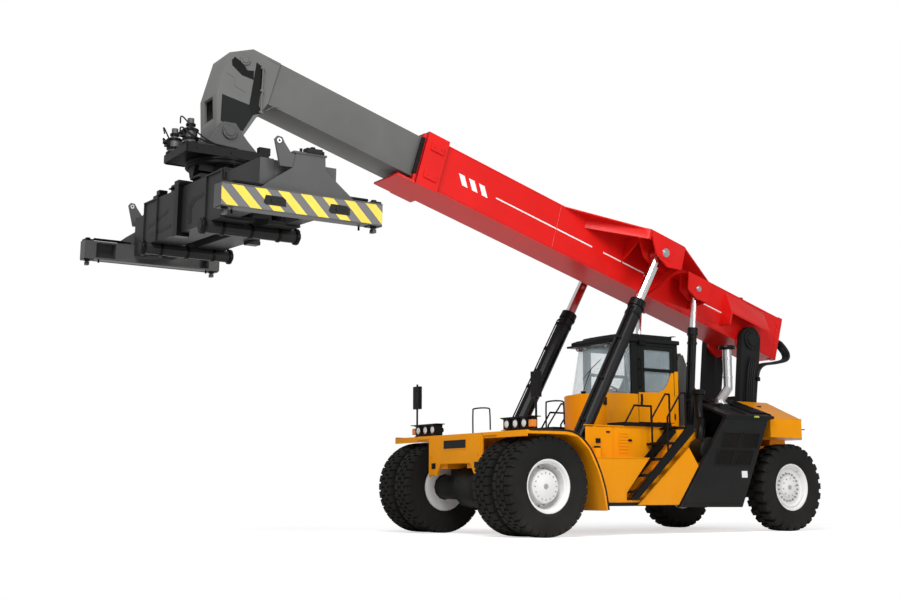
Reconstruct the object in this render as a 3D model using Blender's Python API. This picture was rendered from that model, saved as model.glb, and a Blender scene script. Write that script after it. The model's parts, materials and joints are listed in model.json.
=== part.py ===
"""Reach stacker: a 45 tonne class container handler, parked with its boom part raised.

Frame: +Z up, the ground at z = 0, the machine's front at -Y and its left side at +X.
The origin lies on the ground, under the middle of the overall length. The sizes and places
below are laid out from midway between the axles. Every length is in metres.
"""
import bmesh
import bpy
from math import asin, cos, hypot, pi, radians, sin
from mathutils import Vector

# ---- driving dimensions ---------------------------------------------------------------------
GAP = 0.0003                 # between pieces that touch
RUN = 0.0003                 # radial play of a pin or a rod
SLIDE = 0.005                # play round a sliding or swinging piece
PIN_SIDES = 24

ORIGIN_Y = -2.4              # the origin, seen from midway between the axles
WHEELBASE = 6.0
TYRE_R, TYRE_W, RIM_R = 0.81, 0.48, 0.42
TYRE_SIDES = 24
FRONT_X = (1.79, 1.23)       # middle of the outer and the inner front tyre
REAR_X = 1.46                # middle of a rear tyre
KINGPIN_X, KINGPIN_R = 1.05, 0.06
RIM_DISC = 0.07

FRAME_IN, FRAME_OUT = 0.30, 0.50
FRAME_FRONT, FRAME_REAR = -3.42, 3.95
FRAME_LOW, FRAME_TOP = 0.62, 1.62
AXLE_CLEAR_Z = 1.12          # frame underside over the front axle
STEER_CLEAR_Z = 1.05         # frame underside over the steer axle

DECK_TOP, DECK_PLATE = 1.70, 0.06
DECK_FRONT, DECK_HALF = -3.47, 0.80
FENDER_IN, FENDER_OUT, FENDER_T = 1.20, 2.05, 0.04
BODY_SIDE = 1.62             # outer face of the lower body
PANEL_IN, PANEL_OUT, PANEL_TOP = 1.60, 1.70, 2.07
HOOD_TOP, HOOD_FRONT, HOOD_REAR = 2.50, 1.35, 2.62
WEIGHT_REAR, WEIGHT_LOW, WEIGHT_HALF = 4.15, 1.74, 1.55

CAB_HALF, CAB_REAR, CAB_WALL = 0.70, 1.10, 0.05
CAB_NOSE, CAB_FLOOR, CAB_SILL = 0.78, 1.95, 2.50
CAB_EAVES, CAB_ROOF = 3.455, 3.62
PILLAR_FRONT, PILLAR = -0.05, 0.06
DOOR = {"front": 0.11, "rear": 1.0, "low": 1.985, "high": 3.395, "thick": 0.045, "inset": 0.003}
PANE = 0.012
HINGE_R = 0.018
HINGES = ((2.06, 2.16), (3.20, 3.30))   # z from, z to of the door's hinge barrels

BOOM_PIVOT = (3.25, 3.72)    # y, z
BOOM_ANGLE = radians(16.5)
BOOM_PIN_R = 0.09
OUTER = {"tail": -0.90, "nose": 8.15, "low": -0.08, "high": 0.80, "half": 0.38, "wall": 0.03}
INNER = {"tail": 1.75, "nose": 11.0, "low": 0.0, "high": 0.74, "half": 0.31, "wall": 0.025}
HEAD_HALF, HEAD_WALL = 0.33, 0.03
HEAD_PIN = (11.435, -0.759)  # along and above the boom's pivot, in the boom's own frame
HEAD_PIN_R = 0.075

# middle x, base y and z, eye along and above the boom's pivot, barrel length and radius, rod
# radius, where bore and rod start along the cylinder, eye radius and half width, pin radius,
# ear thickness, and from the cylinder's middle to each ear
CYLINDERS = {
    "lift": {"x": 1.00, "base": (-1.83, 1.15), "eye": (3.11, 0.50), "barrel": 3.45,
             "barrel_r": 0.14, "rod_r": 0.095, "bore_from": 0.16, "rod_from": 1.05, "eye_r": 0.11,
             "eye_half": 0.12, "pin_r": 0.06, "ear": 0.035, "fork": 0.155},
    "recovery": {"x": 0.77, "base": (1.20, 1.05), "eye": (1.90, 0.30), "barrel": 2.75,
                 "barrel_r": 0.085, "rod_r": 0.055, "bore_from": 0.16, "rod_from": 0.75, "eye_r": 0.08,
                 "eye_half": 0.075, "pin_r": 0.04, "ear": 0.025, "fork": 0.098},
}

SPREADER_Y = -7.90
SLEW_TOP, SLEW_R, SLEW_T = 5.82, 0.52, 0.12
SLOPE_Z, SLOPE_REST, SLOPE_PIN_R = 5.60, radians(2.0), 0.045
SPREADER_DROP = 0.90         # end beam's middle below the slope pin
BEAM = {"half": 1.65, "in": 0.13, "out": 0.61, "low": -0.05, "high": 0.67, "wall": 0.02}
END_X, END_HALF_Y, END_T = 3.03, 1.22, 0.25
TWISTLOCK = (2.9265, 1.1295)

YELLOW, RED, GREY = (0.86, 0.42, 0.02), (0.68, 0.02, 0.02), (0.13, 0.13, 0.13)
CHARCOAL, BLACK, WHITE = (0.05, 0.055, 0.06), (0.02, 0.02, 0.02), (0.75, 0.75, 0.73)
CHROME, GLASS, TYRE = (0.8, 0.8, 0.8), (0.6, 0.75, 0.8), (0.015, 0.015, 0.015)

FRONT_Y, REAR_Y = -WHEELBASE / 2, WHEELBASE / 2
SIDES = (("left", 1), ("right", -1))

for old in list(bpy.data.objects):
    bpy.data.objects.remove(old, do_unlink=True)


# ---- shapes ---------------------------------------------------------------------------------
def slab(axis, span, outline):
    """A flat outline pushed along one axis; the outline is in the other two axes, in order."""
    def place(a, b, depth):
        return {"X": (depth, a, b), "Y": (a, depth, b), "Z": (a, b, depth)}[axis]
    shape = bmesh.new()
    rings = [[shape.verts.new(place(a, b, depth)) for a, b in outline] for depth in sorted(span)]
    count = len(outline)
    for i in range(count):
        j = (i + 1) % count
        shape.faces.new((rings[0][i], rings[0][j], rings[1][j], rings[1][i]))
    for ring in rings:
        shape.faces.new(ring)
    return shape


def block(x, y, z):
    (x0, x1), (y0, y1) = sorted(x), sorted(y)
    return slab("Z", z, [(x0, y0), (x1, y0), (x1, y1), (x0, y1)])


def loft(low, high):
    """A solid between two rings of points with the same count, in flat triangles."""
    shape = bmesh.new()
    rings = [[shape.verts.new(p) for p in ring] for ring in (low, high)]
    count = len(low)
    for i in range(count):
        j = (i + 1) % count
        shape.faces.new((rings[0][i], rings[0][j], rings[1][j], rings[1][i]))
    for ring in rings:
        shape.faces.new(ring)
    bmesh.ops.triangulate(shape, faces=shape.faces)
    return shape


def turned(start, toward, profile, sides=12, closed=False):
    """Rows (along, radius) turned about the line from start towards a point."""
    origin = Vector(start)
    axis = (Vector(toward) - origin).normalized()
    first = Vector((0, 0, -1)) if abs(axis.x) > 0.9 else Vector((1, 0, 0))
    second = axis.cross(first)
    shape = bmesh.new()
    rings = []
    for along, radius in profile:
        middle = origin + axis * along
        if radius == 0:
            rings.append([shape.verts.new(middle)])
            continue
        turns = [2 * pi * i / sides for i in range(sides)]
        rings.append([shape.verts.new(middle + radius * (cos(a) * first + sin(a) * second))
                      for a in turns])
    pairs = list(zip(rings, rings[1:]))
    if closed:
        pairs.append((rings[-1], rings[0]))
    for a, b in pairs:
        for i in range(sides):
            j = (i + 1) % sides
            corners = dict.fromkeys((a[i % len(a)], a[j % len(a)], b[j % len(b)], b[i % len(b)]))
            if len(corners) > 2:
                shape.faces.new(list(corners))
    return shape


def bar(start, end, radius, sides=12):
    length = (Vector(end) - Vector(start)).length
    return turned(start, end, [(0, 0), (0, radius), (length, radius), (length, 0)], sides)


def pin(start, end, radius):
    return bar(start, end, radius, PIN_SIDES)


def bore(start, end, pin_r):
    """A hole in which a faceted pin turns freely."""
    return pin(start, end, (pin_r + RUN) / cos(pi / PIN_SIDES))


def tube(points, radius, across, sides=6):
    """A bent bar through points that lie in the plane square to across."""
    path, across = [Vector(p) for p in points], Vector(across)
    shape = bmesh.new()
    rings = []
    for i, middle in enumerate(path):
        before = (middle - path[i - 1]).normalized() if i else None
        after = (path[i + 1] - middle).normalized() if i + 1 < len(path) else None
        before, after = before or after, after or before
        run = (before + after).normalized()
        up = run.cross(across) / run.dot(after)
        turns = [2 * pi * (k + 0.5) / sides for k in range(sides)]
        rings.append([shape.verts.new(middle + radius * (cos(a) * across + sin(a) * up))
                      for a in turns])
    for a, b in zip(rings, rings[1:]):
        for i in range(sides):
            j = (i + 1) % sides
            shape.faces.new((a[i], a[j], b[j], b[i]))
    shape.faces.new(rings[0])
    shape.faces.new(rings[-1])
    return shape


def arc(centre, radius, start, end, steps):
    """Points on a circle, angles in degrees."""
    turns = [radians(start + (end - start) * i / steps) for i in range(steps + 1)]
    return [(centre[0] + radius * cos(a), centre[1] + radius * sin(a)) for a in turns]


def pair(side, near, far):
    """An x span on one side of the machine."""
    return tuple(sorted((side * near, side * far)))


# ---- objects --------------------------------------------------------------------------------
def add(name, shape, parent=None):
    mesh = bpy.data.meshes.new(name)
    bmesh.ops.recalc_face_normals(shape, faces=shape.faces)
    shape.to_mesh(mesh)
    shape.free()
    made = bpy.data.objects.new(name, mesh)
    bpy.context.collection.objects.link(made)
    made.parent = parent or machine
    return made


def paint(made, colour, roughness=0.45, metallic=0.0):
    finish = bpy.data.materials.new(made.name)
    finish.use_nodes = True
    shader = finish.node_tree.nodes["Principled BSDF"]
    shader.inputs["Base Color"].default_value = (*colour, 1.0)
    shader.inputs["Roughness"].default_value = roughness
    shader.inputs["Metallic"].default_value = metallic
    made.data.materials.append(finish)


def part(name, colour, shapes, cuts=(), parent=None, metallic=0.0):
    """One sub-part: its shapes joined into one body, then the cuts taken out."""
    made = add(name, shapes[0], parent)
    paint(made, colour, metallic=metallic)
    for operation, pieces in (("UNION", shapes[1:]), ("DIFFERENCE", cuts)):
        for number, piece in enumerate(pieces):
            tool = add(f"{name}.{operation.lower()}.{number}", piece, parent)
            tool.display_type = "WIRE"
            tool.hide_render = True
            step = made.modifiers.new(tool.name, "BOOLEAN")
            step.operation = operation
            step.solver = "EXACT"
            step.object = tool
    return made


def pivot(name, place, turn=(0, 0, 0)):
    """An empty on a joint's axis."""
    empty = bpy.data.objects.new(name, None)
    bpy.context.collection.objects.link(empty)
    empty.location = place
    empty.rotation_euler = turn
    empty.parent = machine
    return empty


machine = bpy.data.objects.new("machine", None)
bpy.context.collection.objects.link(machine)
machine.location.y = -ORIGIN_Y


# ---- wheels and axles -----------------------------------------------------------------------
def tyre(name, x, parent):
    half = TYRE_W / 2
    # rows: along the axle from the tyre's middle, radius
    profile = [(-0.84 * half, RIM_R), (-half, RIM_R + 0.10), (-half, TYRE_R - 0.13),
               (-0.80 * half, TYRE_R), (0.80 * half, TYRE_R), (half, TYRE_R - 0.13),
               (half, RIM_R + 0.10), (0.84 * half, RIM_R)]
    part(name, TYRE, [turned((x, 0, 0), (x + 1, 0, 0), profile, TYRE_SIDES, closed=True)],
         parent=parent)


def rim(name, side, span, disc, hub, parent, origin_x=0.0):
    """A dished wheel: barrel over span, disc face at disc, hub rows out to the axle's line."""
    seat = RIM_R - GAP
    inner, outer = span
    # rows: distance from the machine's middle, radius
    profile = [(inner, seat), (outer, seat), (outer, seat - 0.035), (disc + 0.03, seat - 0.05),
               (disc, seat - 0.07), *hub, (disc - RIM_DISC, 0), (disc - RIM_DISC, seat - 0.06),
               (inner, seat - 0.04)]
    start = (-side * origin_x, 0, 0)
    shape = turned(start, (start[0] + side, 0, 0), profile, TYRE_SIDES, closed=True)
    part(name, WHITE, [shape], parent=parent)


def front_wheels():
    disc = 1.67
    hub = [(disc, 0.28), (disc + 0.22, 0.26), (disc + 0.26, 0.22), (disc + 0.26, 0)]
    for word, side in SIDES:
        axle = pivot(f"front_axle_line_{word}", (0, FRONT_Y, TYRE_R))
        for place, x in zip(("outer", "inner"), FRONT_X):
            tyre(f"front_tyre_{word}_{place}", side * x, axle)
        span = (FRONT_X[1] - 0.20, FRONT_X[0] + 0.20)
        rim(f"front_rim_{word}", side, span, disc, hub, axle)
    return disc - RIM_DISC


def rear_wheels():
    disc = 1.57
    hub = [(disc, 0.20), (disc + 0.05, 0.17), (disc + 0.05, 0)]
    for word, side in SIDES:
        kingpin = pivot(f"kingpin_{word}", (side * KINGPIN_X, REAR_Y, TYRE_R))
        tyre(f"rear_tyre_{word}", side * (REAR_X - KINGPIN_X), kingpin)
        span = (REAR_X - 0.20, REAR_X + 0.20)
        rim(f"rear_rim_{word}", side, span, disc, hub, kingpin, KINGPIN_X)
        knuckle(word, side, kingpin, disc - RIM_DISC - GAP - KINGPIN_X)


JAW_GAP, JAW_T, JAW_END = 0.37, 0.065, 1.13   # between the jaws, their thickness, their reach


def knuckle(word, side, kingpin, spindle):
    half = JAW_GAP / 2 - GAP
    body = block(pair(side, -0.10, 0.13), (-0.10, 0.10), (-half, half))
    stub = bar((0, 0, 0), (side * spindle, 0, 0), 0.12)
    reach = JAW_GAP / 2 + JAW_T - 0.01
    kingbolt = pin((0, 0, -reach), (0, 0, reach), KINGPIN_R)
    part(f"steering_knuckle_{word}", CHARCOAL, [body, stub, kingbolt], parent=kingpin)


def front_axle(disc_back):
    end = disc_back - GAP
    x_axis = (1, FRONT_Y, TYRE_R)
    # rows: along the axle, radius
    profile = [(-end, 0), (-end, 0.20), (-1.48, 0.20), (-1.45, 0.32), (-1.08, 0.32), (-1.02, 0.21),
               (-0.34, 0.23), (-0.24, 0.36), (0.24, 0.36), (0.34, 0.23), (1.02, 0.21),
               (1.08, 0.32), (1.45, 0.32), (1.48, 0.20), (end, 0.20), (end, 0)]
    shapes = [turned((0, FRONT_Y, TYRE_R), x_axis, profile)]
    for _, side in SIDES:
        seat_x = pair(side, FRAME_IN - 0.02, FRAME_OUT + 0.03)
        seat_y = (FRONT_Y - 0.20, FRONT_Y + 0.20)
        shapes.append(block(seat_x, seat_y, (TYRE_R + 0.05, AXLE_CLEAR_Z - GAP)))
    part("front_axle", CHARCOAL, shapes)


def steer_axle():
    low, high = TYRE_R - JAW_GAP / 2, TYRE_R + JAW_GAP / 2
    shapes = [block((-0.86, 0.86), (REAR_Y - 0.14, REAR_Y + 0.14), (low - 0.005, high + 0.005)),
              block((-0.40, 0.40), (REAR_Y - 0.22, REAR_Y + 0.22), (high - 0.1, STEER_CLEAR_Z - GAP))]
    cuts = []
    for _, side in SIDES:
        for z0, z1 in ((low - JAW_T, low), (high, high + JAW_T)):
            shapes.append(block(pair(side, 0.78, JAW_END), (REAR_Y - 0.12, REAR_Y + 0.12), (z0, z1)))
        hole = bore((side * KINGPIN_X, REAR_Y, low - 0.2), (side * KINGPIN_X, REAR_Y, high + 0.2),
                    KINGPIN_R)
        cuts.append(hole)
    part("steer_axle", CHARCOAL, shapes, cuts)


# ---- chassis --------------------------------------------------------------------------------
def bracket(row, side, low):
    """Two ears with a pin for a cylinder's base, on a foot that reaches in to the frame."""
    y, z = row["base"]
    ear_r = row["eye_r"] + 0.05
    inner = row["x"] - row["fork"]
    outer = row["x"] + row["fork"]
    outline = [(y - ear_r, low + 0.02), (y + ear_r, low + 0.02)]
    outline += arc((y, z), ear_r, 0, 180, 6)
    ears = [slab("X", pair(side, inner - row["ear"], inner), outline),
            slab("X", pair(side, outer, outer + row["ear"]), outline)]
    foot = block(pair(side, FRAME_OUT - 0.05, outer + row["ear"]), (y - ear_r, y + ear_r),
                 (low, low + 0.22))
    base_pin = pin((side * (inner - row["ear"]), y, z), (side * (outer + row["ear"]), y, z),
                   row["pin_r"])
    return [foot, *ears, base_pin]


def chassis_frame():
    rail = [(FRAME_FRONT, AXLE_CLEAR_Z), (-2.42, AXLE_CLEAR_Z), (-2.15, FRAME_LOW),
            (1.85, FRAME_LOW), (2.20, STEER_CLEAR_Z), (FRAME_REAR, STEER_CLEAR_Z),
            (FRAME_REAR, FRAME_TOP), (FRAME_FRONT, FRAME_TOP)]
    # cross members: y from, y to, z from, z to
    members = ((-3.40, -3.20, 1.20, 1.50), (-2.40, -2.15, 1.20, 1.50), (-0.90, -0.65, 0.70, 1.55),
               (0.40, 0.60, 0.70, 1.50), (1.60, 1.80, 0.66, 0.74), (2.40, 2.60, 1.10, 1.50),
               (3.60, 3.90, 1.10, 1.55))
    shapes = [slab("X", pair(side, FRAME_IN, FRAME_OUT), rail) for _, side in SIDES]
    joined = FRAME_IN + 0.01
    for y0, y1, z0, z1 in members:
        shapes.append(block((-joined, joined), (y0, y1), (z0, z1)))
    for _, side in SIDES:
        shapes += bracket(CYLINDERS["lift"], side, 0.70)
        shapes += bracket(CYLINDERS["recovery"], side, 0.64)
        arm = block(pair(side, FRAME_OUT - 0.02, PANEL_IN - GAP), (0.36, 0.56), (0.64, 0.80))
        shapes.append(arm)
    part("chassis_frame", YELLOW, shapes)


def engine_block():
    half = FRAME_IN - GAP
    part("engine_block", CHARCOAL, [block((-half, half), (0.80, 2.30), (0.75, 1.60))])


def front_deck():
    top = DECK_TOP
    half = DECK_HALF - GAP
    apron = [(-half, top - 0.01), (-half, 1.00), (-0.58, 1.00), (-0.46, 1.20), (0.46, 1.20),
             (0.58, 1.00), (half, 1.00), (half, top - 0.01)]
    shapes = [block((-half, half), (DECK_FRONT, -2.20), (FRAME_TOP + GAP, top)),
              block((-0.62, 0.62), (-2.25, -CAB_NOSE - 0.06), (FRAME_TOP + GAP, top)),
              slab("Y", (DECK_FRONT, FRAME_FRONT - GAP), apron)]
    part("front_deck", YELLOW, shapes)


def fender(word, side):
    outline = [(DECK_FRONT + 0.04, DECK_TOP), (-2.62, DECK_TOP), (-2.38, 1.62), (-2.16, 1.42),
               (-1.98, 1.10), (-1.86, 0.76), (-1.80, 0.43)]
    inner = [(y - 1.1 * FENDER_T, z - 0.4 * FENDER_T) for y, z in reversed(outline[2:])]
    under = DECK_TOP - DECK_PLATE
    inner += [(-2.66, under), (DECK_FRONT + 0.04, under)]
    shapes = [slab("X", pair(side, FENDER_IN, FENDER_OUT), outline + inner),
              block(pair(side, DECK_HALF, FENDER_IN + 0.02), (DECK_FRONT, -2.20), (under, DECK_TOP))]
    part(f"front_fender_{word}", YELLOW, shapes)


def body_side(word, side):
    """Lower body beside the frame, with the walls that the steps stand against."""
    sill = 0.50
    wedge = [(-0.82, sill), (0.12, sill), (0.62, 1.18), (0.40, 1.50)]
    box = [(-1.72, sill), (-1.03, sill), (-1.03, 0.70), (-0.49, 1.30), (-1.72, 1.30)]
    shapes = [block(pair(side, FRAME_OUT + GAP, 1.20), (-1.60, 0.34), (0.93, 1.08)),
              block(pair(side, 0.72, 1.20), (-1.00, 1.02), (1.07, FRAME_TOP + 0.25)),
              block(pair(side, 1.10, 1.20), (-1.60, 0.34), (sill, 1.08)),
              slab("X", pair(side, 1.19, BODY_SIDE), box),
              block(pair(side, 1.19, BODY_SIDE), (-1.10, 0.12), (sill, sill + 0.08)),
              slab("X", pair(side, 1.19, BODY_SIDE + 0.05), wedge)]
    part(f"body_side_{word}", YELLOW, shapes)


def steps(word, side):
    """Open stair up to the cab, with its handrails and the landing beside the cab."""
    stringer = [(-1.02, 0.60), (-0.86, 0.60), (0.50, 1.78), (0.50, 1.90), (0.36, 1.90)]
    x_in, x_out = 1.24, 1.72
    shapes = [slab("X", pair(side, x_out - 0.03, x_out), stringer)]
    # treads: middle y, top z
    for y, z in ((-0.86, 0.74), (-0.60, 1.02), (-0.33, 1.30), (-0.06, 1.58), (0.26, 1.86)):
        shapes.append(block(pair(side, 1.20 + GAP, x_out - 0.01), (y - 0.12, y + 0.12), (z - 0.04, z)))
    shapes.append(slab("X", pair(side, 1.20 + GAP, 1.24), stringer))
    landing = FRAME_TOP + 0.25 + GAP
    shapes.append(block(pair(side, 0.78, x_in), (-0.72, 0.40), (landing, landing + 0.07)))
    rail = ((-0.13, 1.30), (-0.13, 2.02), (0.20, 2.46), (0.30, 2.46), (0.30, 1.84))
    for x in (1.30, x_out - 0.02):
        shapes.append(tube([(side * x, y, z) for y, z in rail], 0.018, (1, 0, 0)))
    guard = ((-0.68, landing + 0.05), (-0.46, 2.24), (-0.06, 2.24), (-0.06, landing + 0.05))
    shapes.append(tube([(side * (x_in - 0.03), y, z) for y, z in guard], 0.018, (1, 0, 0)))
    part(f"steps_{word}", BLACK, shapes)


def side_panel(word, side):
    outline = [(0.13, 0.46), (1.66, 0.45), (2.42, PANEL_TOP - GAP), (1.33, PANEL_TOP - GAP)]
    part(f"side_panel_{word}", CHARCOAL, [slab("X", pair(side, PANEL_IN, PANEL_OUT), outline)])


def engine_hood():
    eave, ridge, skin = 2.12, 0.55, 0.03
    section = [(-PANEL_OUT + 0.05, PANEL_TOP), (-PANEL_OUT + 0.05, eave), (-ridge, HOOD_TOP),
               (ridge, HOOD_TOP), (PANEL_OUT - 0.05, eave), (PANEL_OUT - 0.05, PANEL_TOP)]
    inside = [(-PANEL_IN + skin, PANEL_TOP - 0.1), (-PANEL_IN + skin, eave - skin),
              (-ridge, HOOD_TOP - skin), (ridge, HOOD_TOP - skin), (PANEL_IN - skin, eave - skin),
              (PANEL_IN - skin, PANEL_TOP - 0.1)]
    shapes = [slab("Y", (HOOD_FRONT, HOOD_REAR - GAP), section),
              block((0.98, 1.22), (1.66, 1.90), (2.22, 2.36))]
    cuts = [slab("Y", (HOOD_FRONT - 0.1, HOOD_REAR - skin), inside),
            block((-0.92, 0.92), (HOOD_FRONT - 0.1, 1.82), (PANEL_TOP - 0.1, HOOD_TOP + 0.1))]
    part("engine_hood", CHARCOAL, shapes, cuts)


def exhaust_stack():
    path = [(1.10, 1.78, 2.36 + GAP), (1.10, 1.78, 2.42), (1.10, 2.00, 2.66), (1.10, 2.00, 3.40)]
    part("exhaust_stack", CHROME, [tube(path, 0.085, (1, 0, 0), 12)], metallic=1.0)


def rear_cover():
    outline = [(1.16, FRAME_TOP + GAP), (1.16, 3.20), (1.32, 3.34), (1.50, 2.95), (1.78, 2.55),
               (1.78, FRAME_TOP + GAP)]
    inside = [(1.19, FRAME_TOP - 0.1), (1.19, 3.17), (1.30, 3.26), (1.47, 2.93), (1.75, 2.53),
              (1.75, FRAME_TOP - 0.1)]
    part("rear_cover", GREY, [slab("X", (-0.56, 0.56), outline)], [slab("X", (-0.53, 0.53), inside)])


def counterweight():
    half, low, brim = WEIGHT_HALF, WEIGHT_LOW, 2.09
    front, rear = HOOD_REAR, WEIGHT_REAR
    plan = [(-half, front), (half, front), (half, 3.47), (0.95, rear), (-0.95, rear), (-half, 3.47)]
    ridge = [(-0.55, front), (0.55, front), (0.55, 3.55), (0.40, 3.60), (-0.40, 3.60), (-0.55, 3.55)]
    shapes = [slab("Z", (low, brim), plan),
              loft([(x, y, brim - 0.001) for x, y in plan], [(x, y, HOOD_TOP) for x, y in ridge]),
              block((-0.56, 0.56), (3.56, rear - 0.05), (FRAME_TOP + GAP, low + 0.05))]
    cuts = [block((-0.62, 0.62), (front - 0.1, 3.66), (FRAME_TOP - 0.1, HOOD_TOP + 0.1))]
    part("counterweight", YELLOW, shapes, cuts)


SUPPORT_IN, SUPPORT_OUT, SUPPORT_R = 0.42, 0.56, 0.26


def boom_support():
    y, z = BOOM_PIVOT
    outline = [(2.78, FRAME_TOP + GAP), (3.36, FRAME_TOP + GAP), (3.34, 2.5)]
    outline += arc((y, z), SUPPORT_R, 0, 180, 8) + [(2.88, 2.7)]
    shapes = []
    for _, side in SIDES:
        shapes.append(slab("X", pair(side, SUPPORT_IN, SUPPORT_OUT), outline))
        shapes.append(pin((side * 0.362, y, z), (side * 0.60, y, z), BOOM_PIN_R))
    shapes.append(block((-0.43, 0.43), (2.95, 3.15), (1.80, 2.60)))
    part("boom_support", CHARCOAL, shapes)


def lamps_and_mirror(word, side):
    base = DECK_TOP + GAP
    shapes = [block(pair(side, 1.02, 1.72), (-3.14, -3.06), (base, base + 0.06))]
    for x in (1.14, 1.38, 1.62):
        shapes.append(block(pair(side, x - 0.09, x + 0.09), (-3.18, -3.04), (base + 0.05, base + 0.21)))
    post_x = side * 1.82
    shapes.append(block(pair(side, 1.70, 1.86), (-3.13, -3.07), (base, base + 0.04)))
    shapes.append(tube([(post_x, -3.10, base + 0.02), (post_x, -3.10, 2.70)], 0.02, (1, 0, 0)))
    shapes.append(block(pair(side, 1.72, 1.92), (-3.11, -3.06), (2.24, 2.66)))
    part(f"lamps_and_mirror_{word}", BLACK, shapes)


# ---- cab ------------------------------------------------------------------------------------
def nose(half, depth, rear):
    """A plan outline with a bulged front: half width, front depth, rear y."""
    # share of the half width, share of the depth
    bulge = ((-1.0, 0.40), (-0.86, 0.76), (-0.50, 0.94), (0.0, 1.0), (0.50, 0.94), (0.86, 0.76),
             (1.0, 0.40))
    return [(half, rear), (-half, rear)] + [(half * a, -depth * b) for a, b in bulge]


def door_opening():
    grow = SLIDE
    return block((CAB_HALF - 0.10, CAB_HALF + 0.1), (DOOR["front"] - grow, DOOR["rear"] + 0.001),
                 (DOOR["low"] - grow, DOOR["high"] + grow))


def hinge_room():
    """Round recesses in which the door's hinge barrels turn."""
    x, y = CAB_HALF, DOOR["rear"]
    return [bar((x, y, z0 - SLIDE), (x, y, z1 + SLIDE), (HINGE_R + RUN) / cos(pi / 12))
            for z0, z1 in HINGES]


def cab_base():
    shell = slab("Z", (FRAME_TOP + GAP, CAB_SILL), nose(CAB_HALF, CAB_NOSE, CAB_REAR))
    inner = (CAB_HALF - CAB_WALL, CAB_NOSE - CAB_WALL, CAB_REAR - CAB_WALL)
    room = slab("Z", (CAB_FLOOR, CAB_SILL + 0.1), nose(*inner))
    below = slab("Z", (FRAME_TOP - 0.1, CAB_FLOOR - 0.05), nose(*inner))
    part("cab_base", YELLOW, [shell], [room, below, door_opening(), *hinge_room()])


def cab_frame():
    half, front, rear = CAB_HALF, PILLAR_FRONT, CAB_REAR
    low, high = CAB_SILL + GAP, CAB_EAVES
    shell = block((-half, half), (front, rear), (low, high))
    room = block((-half + PILLAR, half - PILLAR), (front + PILLAR, rear - PILLAR), (low - 1, high + 1))
    open_low, open_high = low + 0.06, high - 0.07
    front_way = block((-half + 0.09, half - 0.09), (front - 0.1, front + 0.1), (low - 0.1, open_high))
    rear_way = block((-half + 0.12, half - 0.12), (rear - 0.1, rear + 0.1), (open_low, open_high))
    right_way = block((-half - 0.1, -half + 0.1), (0.11, 1.0), (open_low, open_high))
    cuts = [room, front_way, rear_way, right_way, door_opening(), *hinge_room()]
    part("cab_frame", CHARCOAL, [shell], cuts)
    for name, x, y in (("right_window", (-half + 0.02, -half + 0.02 + PANE), (0.11, 1.0)),
                       ("rear_window", (-half + 0.12, half - 0.12), (rear - 0.04, rear - 0.04 + PANE))):
        edge_x = (x[0] + GAP, x[1] - GAP)
        edge_y = (y[0] + GAP, y[1] - GAP)
        part(name, GLASS, [block(edge_x, edge_y, (open_low + GAP, open_high - GAP))])


def cab_roof():
    shapes = [slab("Z", (CAB_EAVES + GAP, CAB_EAVES + 0.08), nose(CAB_HALF + 0.04, 0.50, CAB_REAR + 0.03)),
              slab("Z", (CAB_EAVES + 0.07, CAB_ROOF), nose(CAB_HALF - 0.05, 0.20, CAB_REAR - 0.08))]
    part("cab_roof", CHARCOAL, shapes)


def windshield():
    def ring(depth, z):
        steps = 8
        outer, inner = [], []
        for i in range(steps + 1):
            turn = pi * i / steps
            x, y = 0.66 * cos(turn), PILLAR_FRONT - GAP - depth * sin(turn) ** 0.8
            outer.append((x, y, z))
            inner.append((x * (1 - PANE / 0.66), min(y + PANE, PILLAR_FRONT - GAP), z))
        inner[0] = (0.66 - PANE, PILLAR_FRONT - GAP, z)
        inner[-1] = (-0.66 + PANE, PILLAR_FRONT - GAP, z)
        return outer + inner[::-1]
    part("windshield", GLASS, [loft(ring(0.62, CAB_SILL + GAP), ring(0.36, CAB_EAVES - GAP))])


def cab_door():
    hinge = pivot("cab_door_hinge", (CAB_HALF, DOOR["rear"], 0))
    front, low, high = DOOR["front"] - DOOR["rear"], DOOR["low"], DOOR["high"]
    leaf = block((-DOOR["thick"], -DOOR["inset"]), (front, -SLIDE), (low, high))
    window_y, window_z = (front + 0.16, -0.09), (CAB_SILL + 0.04, high - 0.07)
    window = block((-0.2, 0.2), window_y, window_z)
    barrels = [bar((0, 0, z0), (0, 0, z1), HINGE_R) for z0, z1 in HINGES]
    part("cab_door", CHARCOAL, [leaf, *barrels], [window], parent=hinge)
    pane_y = (window_y[0] + GAP, window_y[1] - GAP)
    pane_z = (window_z[0] + GAP, window_z[1] - GAP)
    part("cab_door_glass", GLASS, [block((-0.03, -0.03 + PANE), pane_y, pane_z)], parent=hinge)


def operator_seat():
    floor = CAB_FLOOR + GAP
    shapes = [block((-0.20, 0.20), (0.40, 0.80), (floor, 2.22)),
              block((-0.26, 0.26), (0.32, 0.88), (2.21, 2.36)),
              slab("X", (-0.25, 0.25), [(0.78, 2.34), (0.90, 2.34), (1.00, 2.96), (0.90, 2.98)]),
              block((-0.36, -0.24), (0.42, 0.84), (2.34, 2.50)),
              block((0.24, 0.36), (0.42, 0.84), (2.34, 2.50))]
    part("operator_seat", BLACK, shapes)


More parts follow.
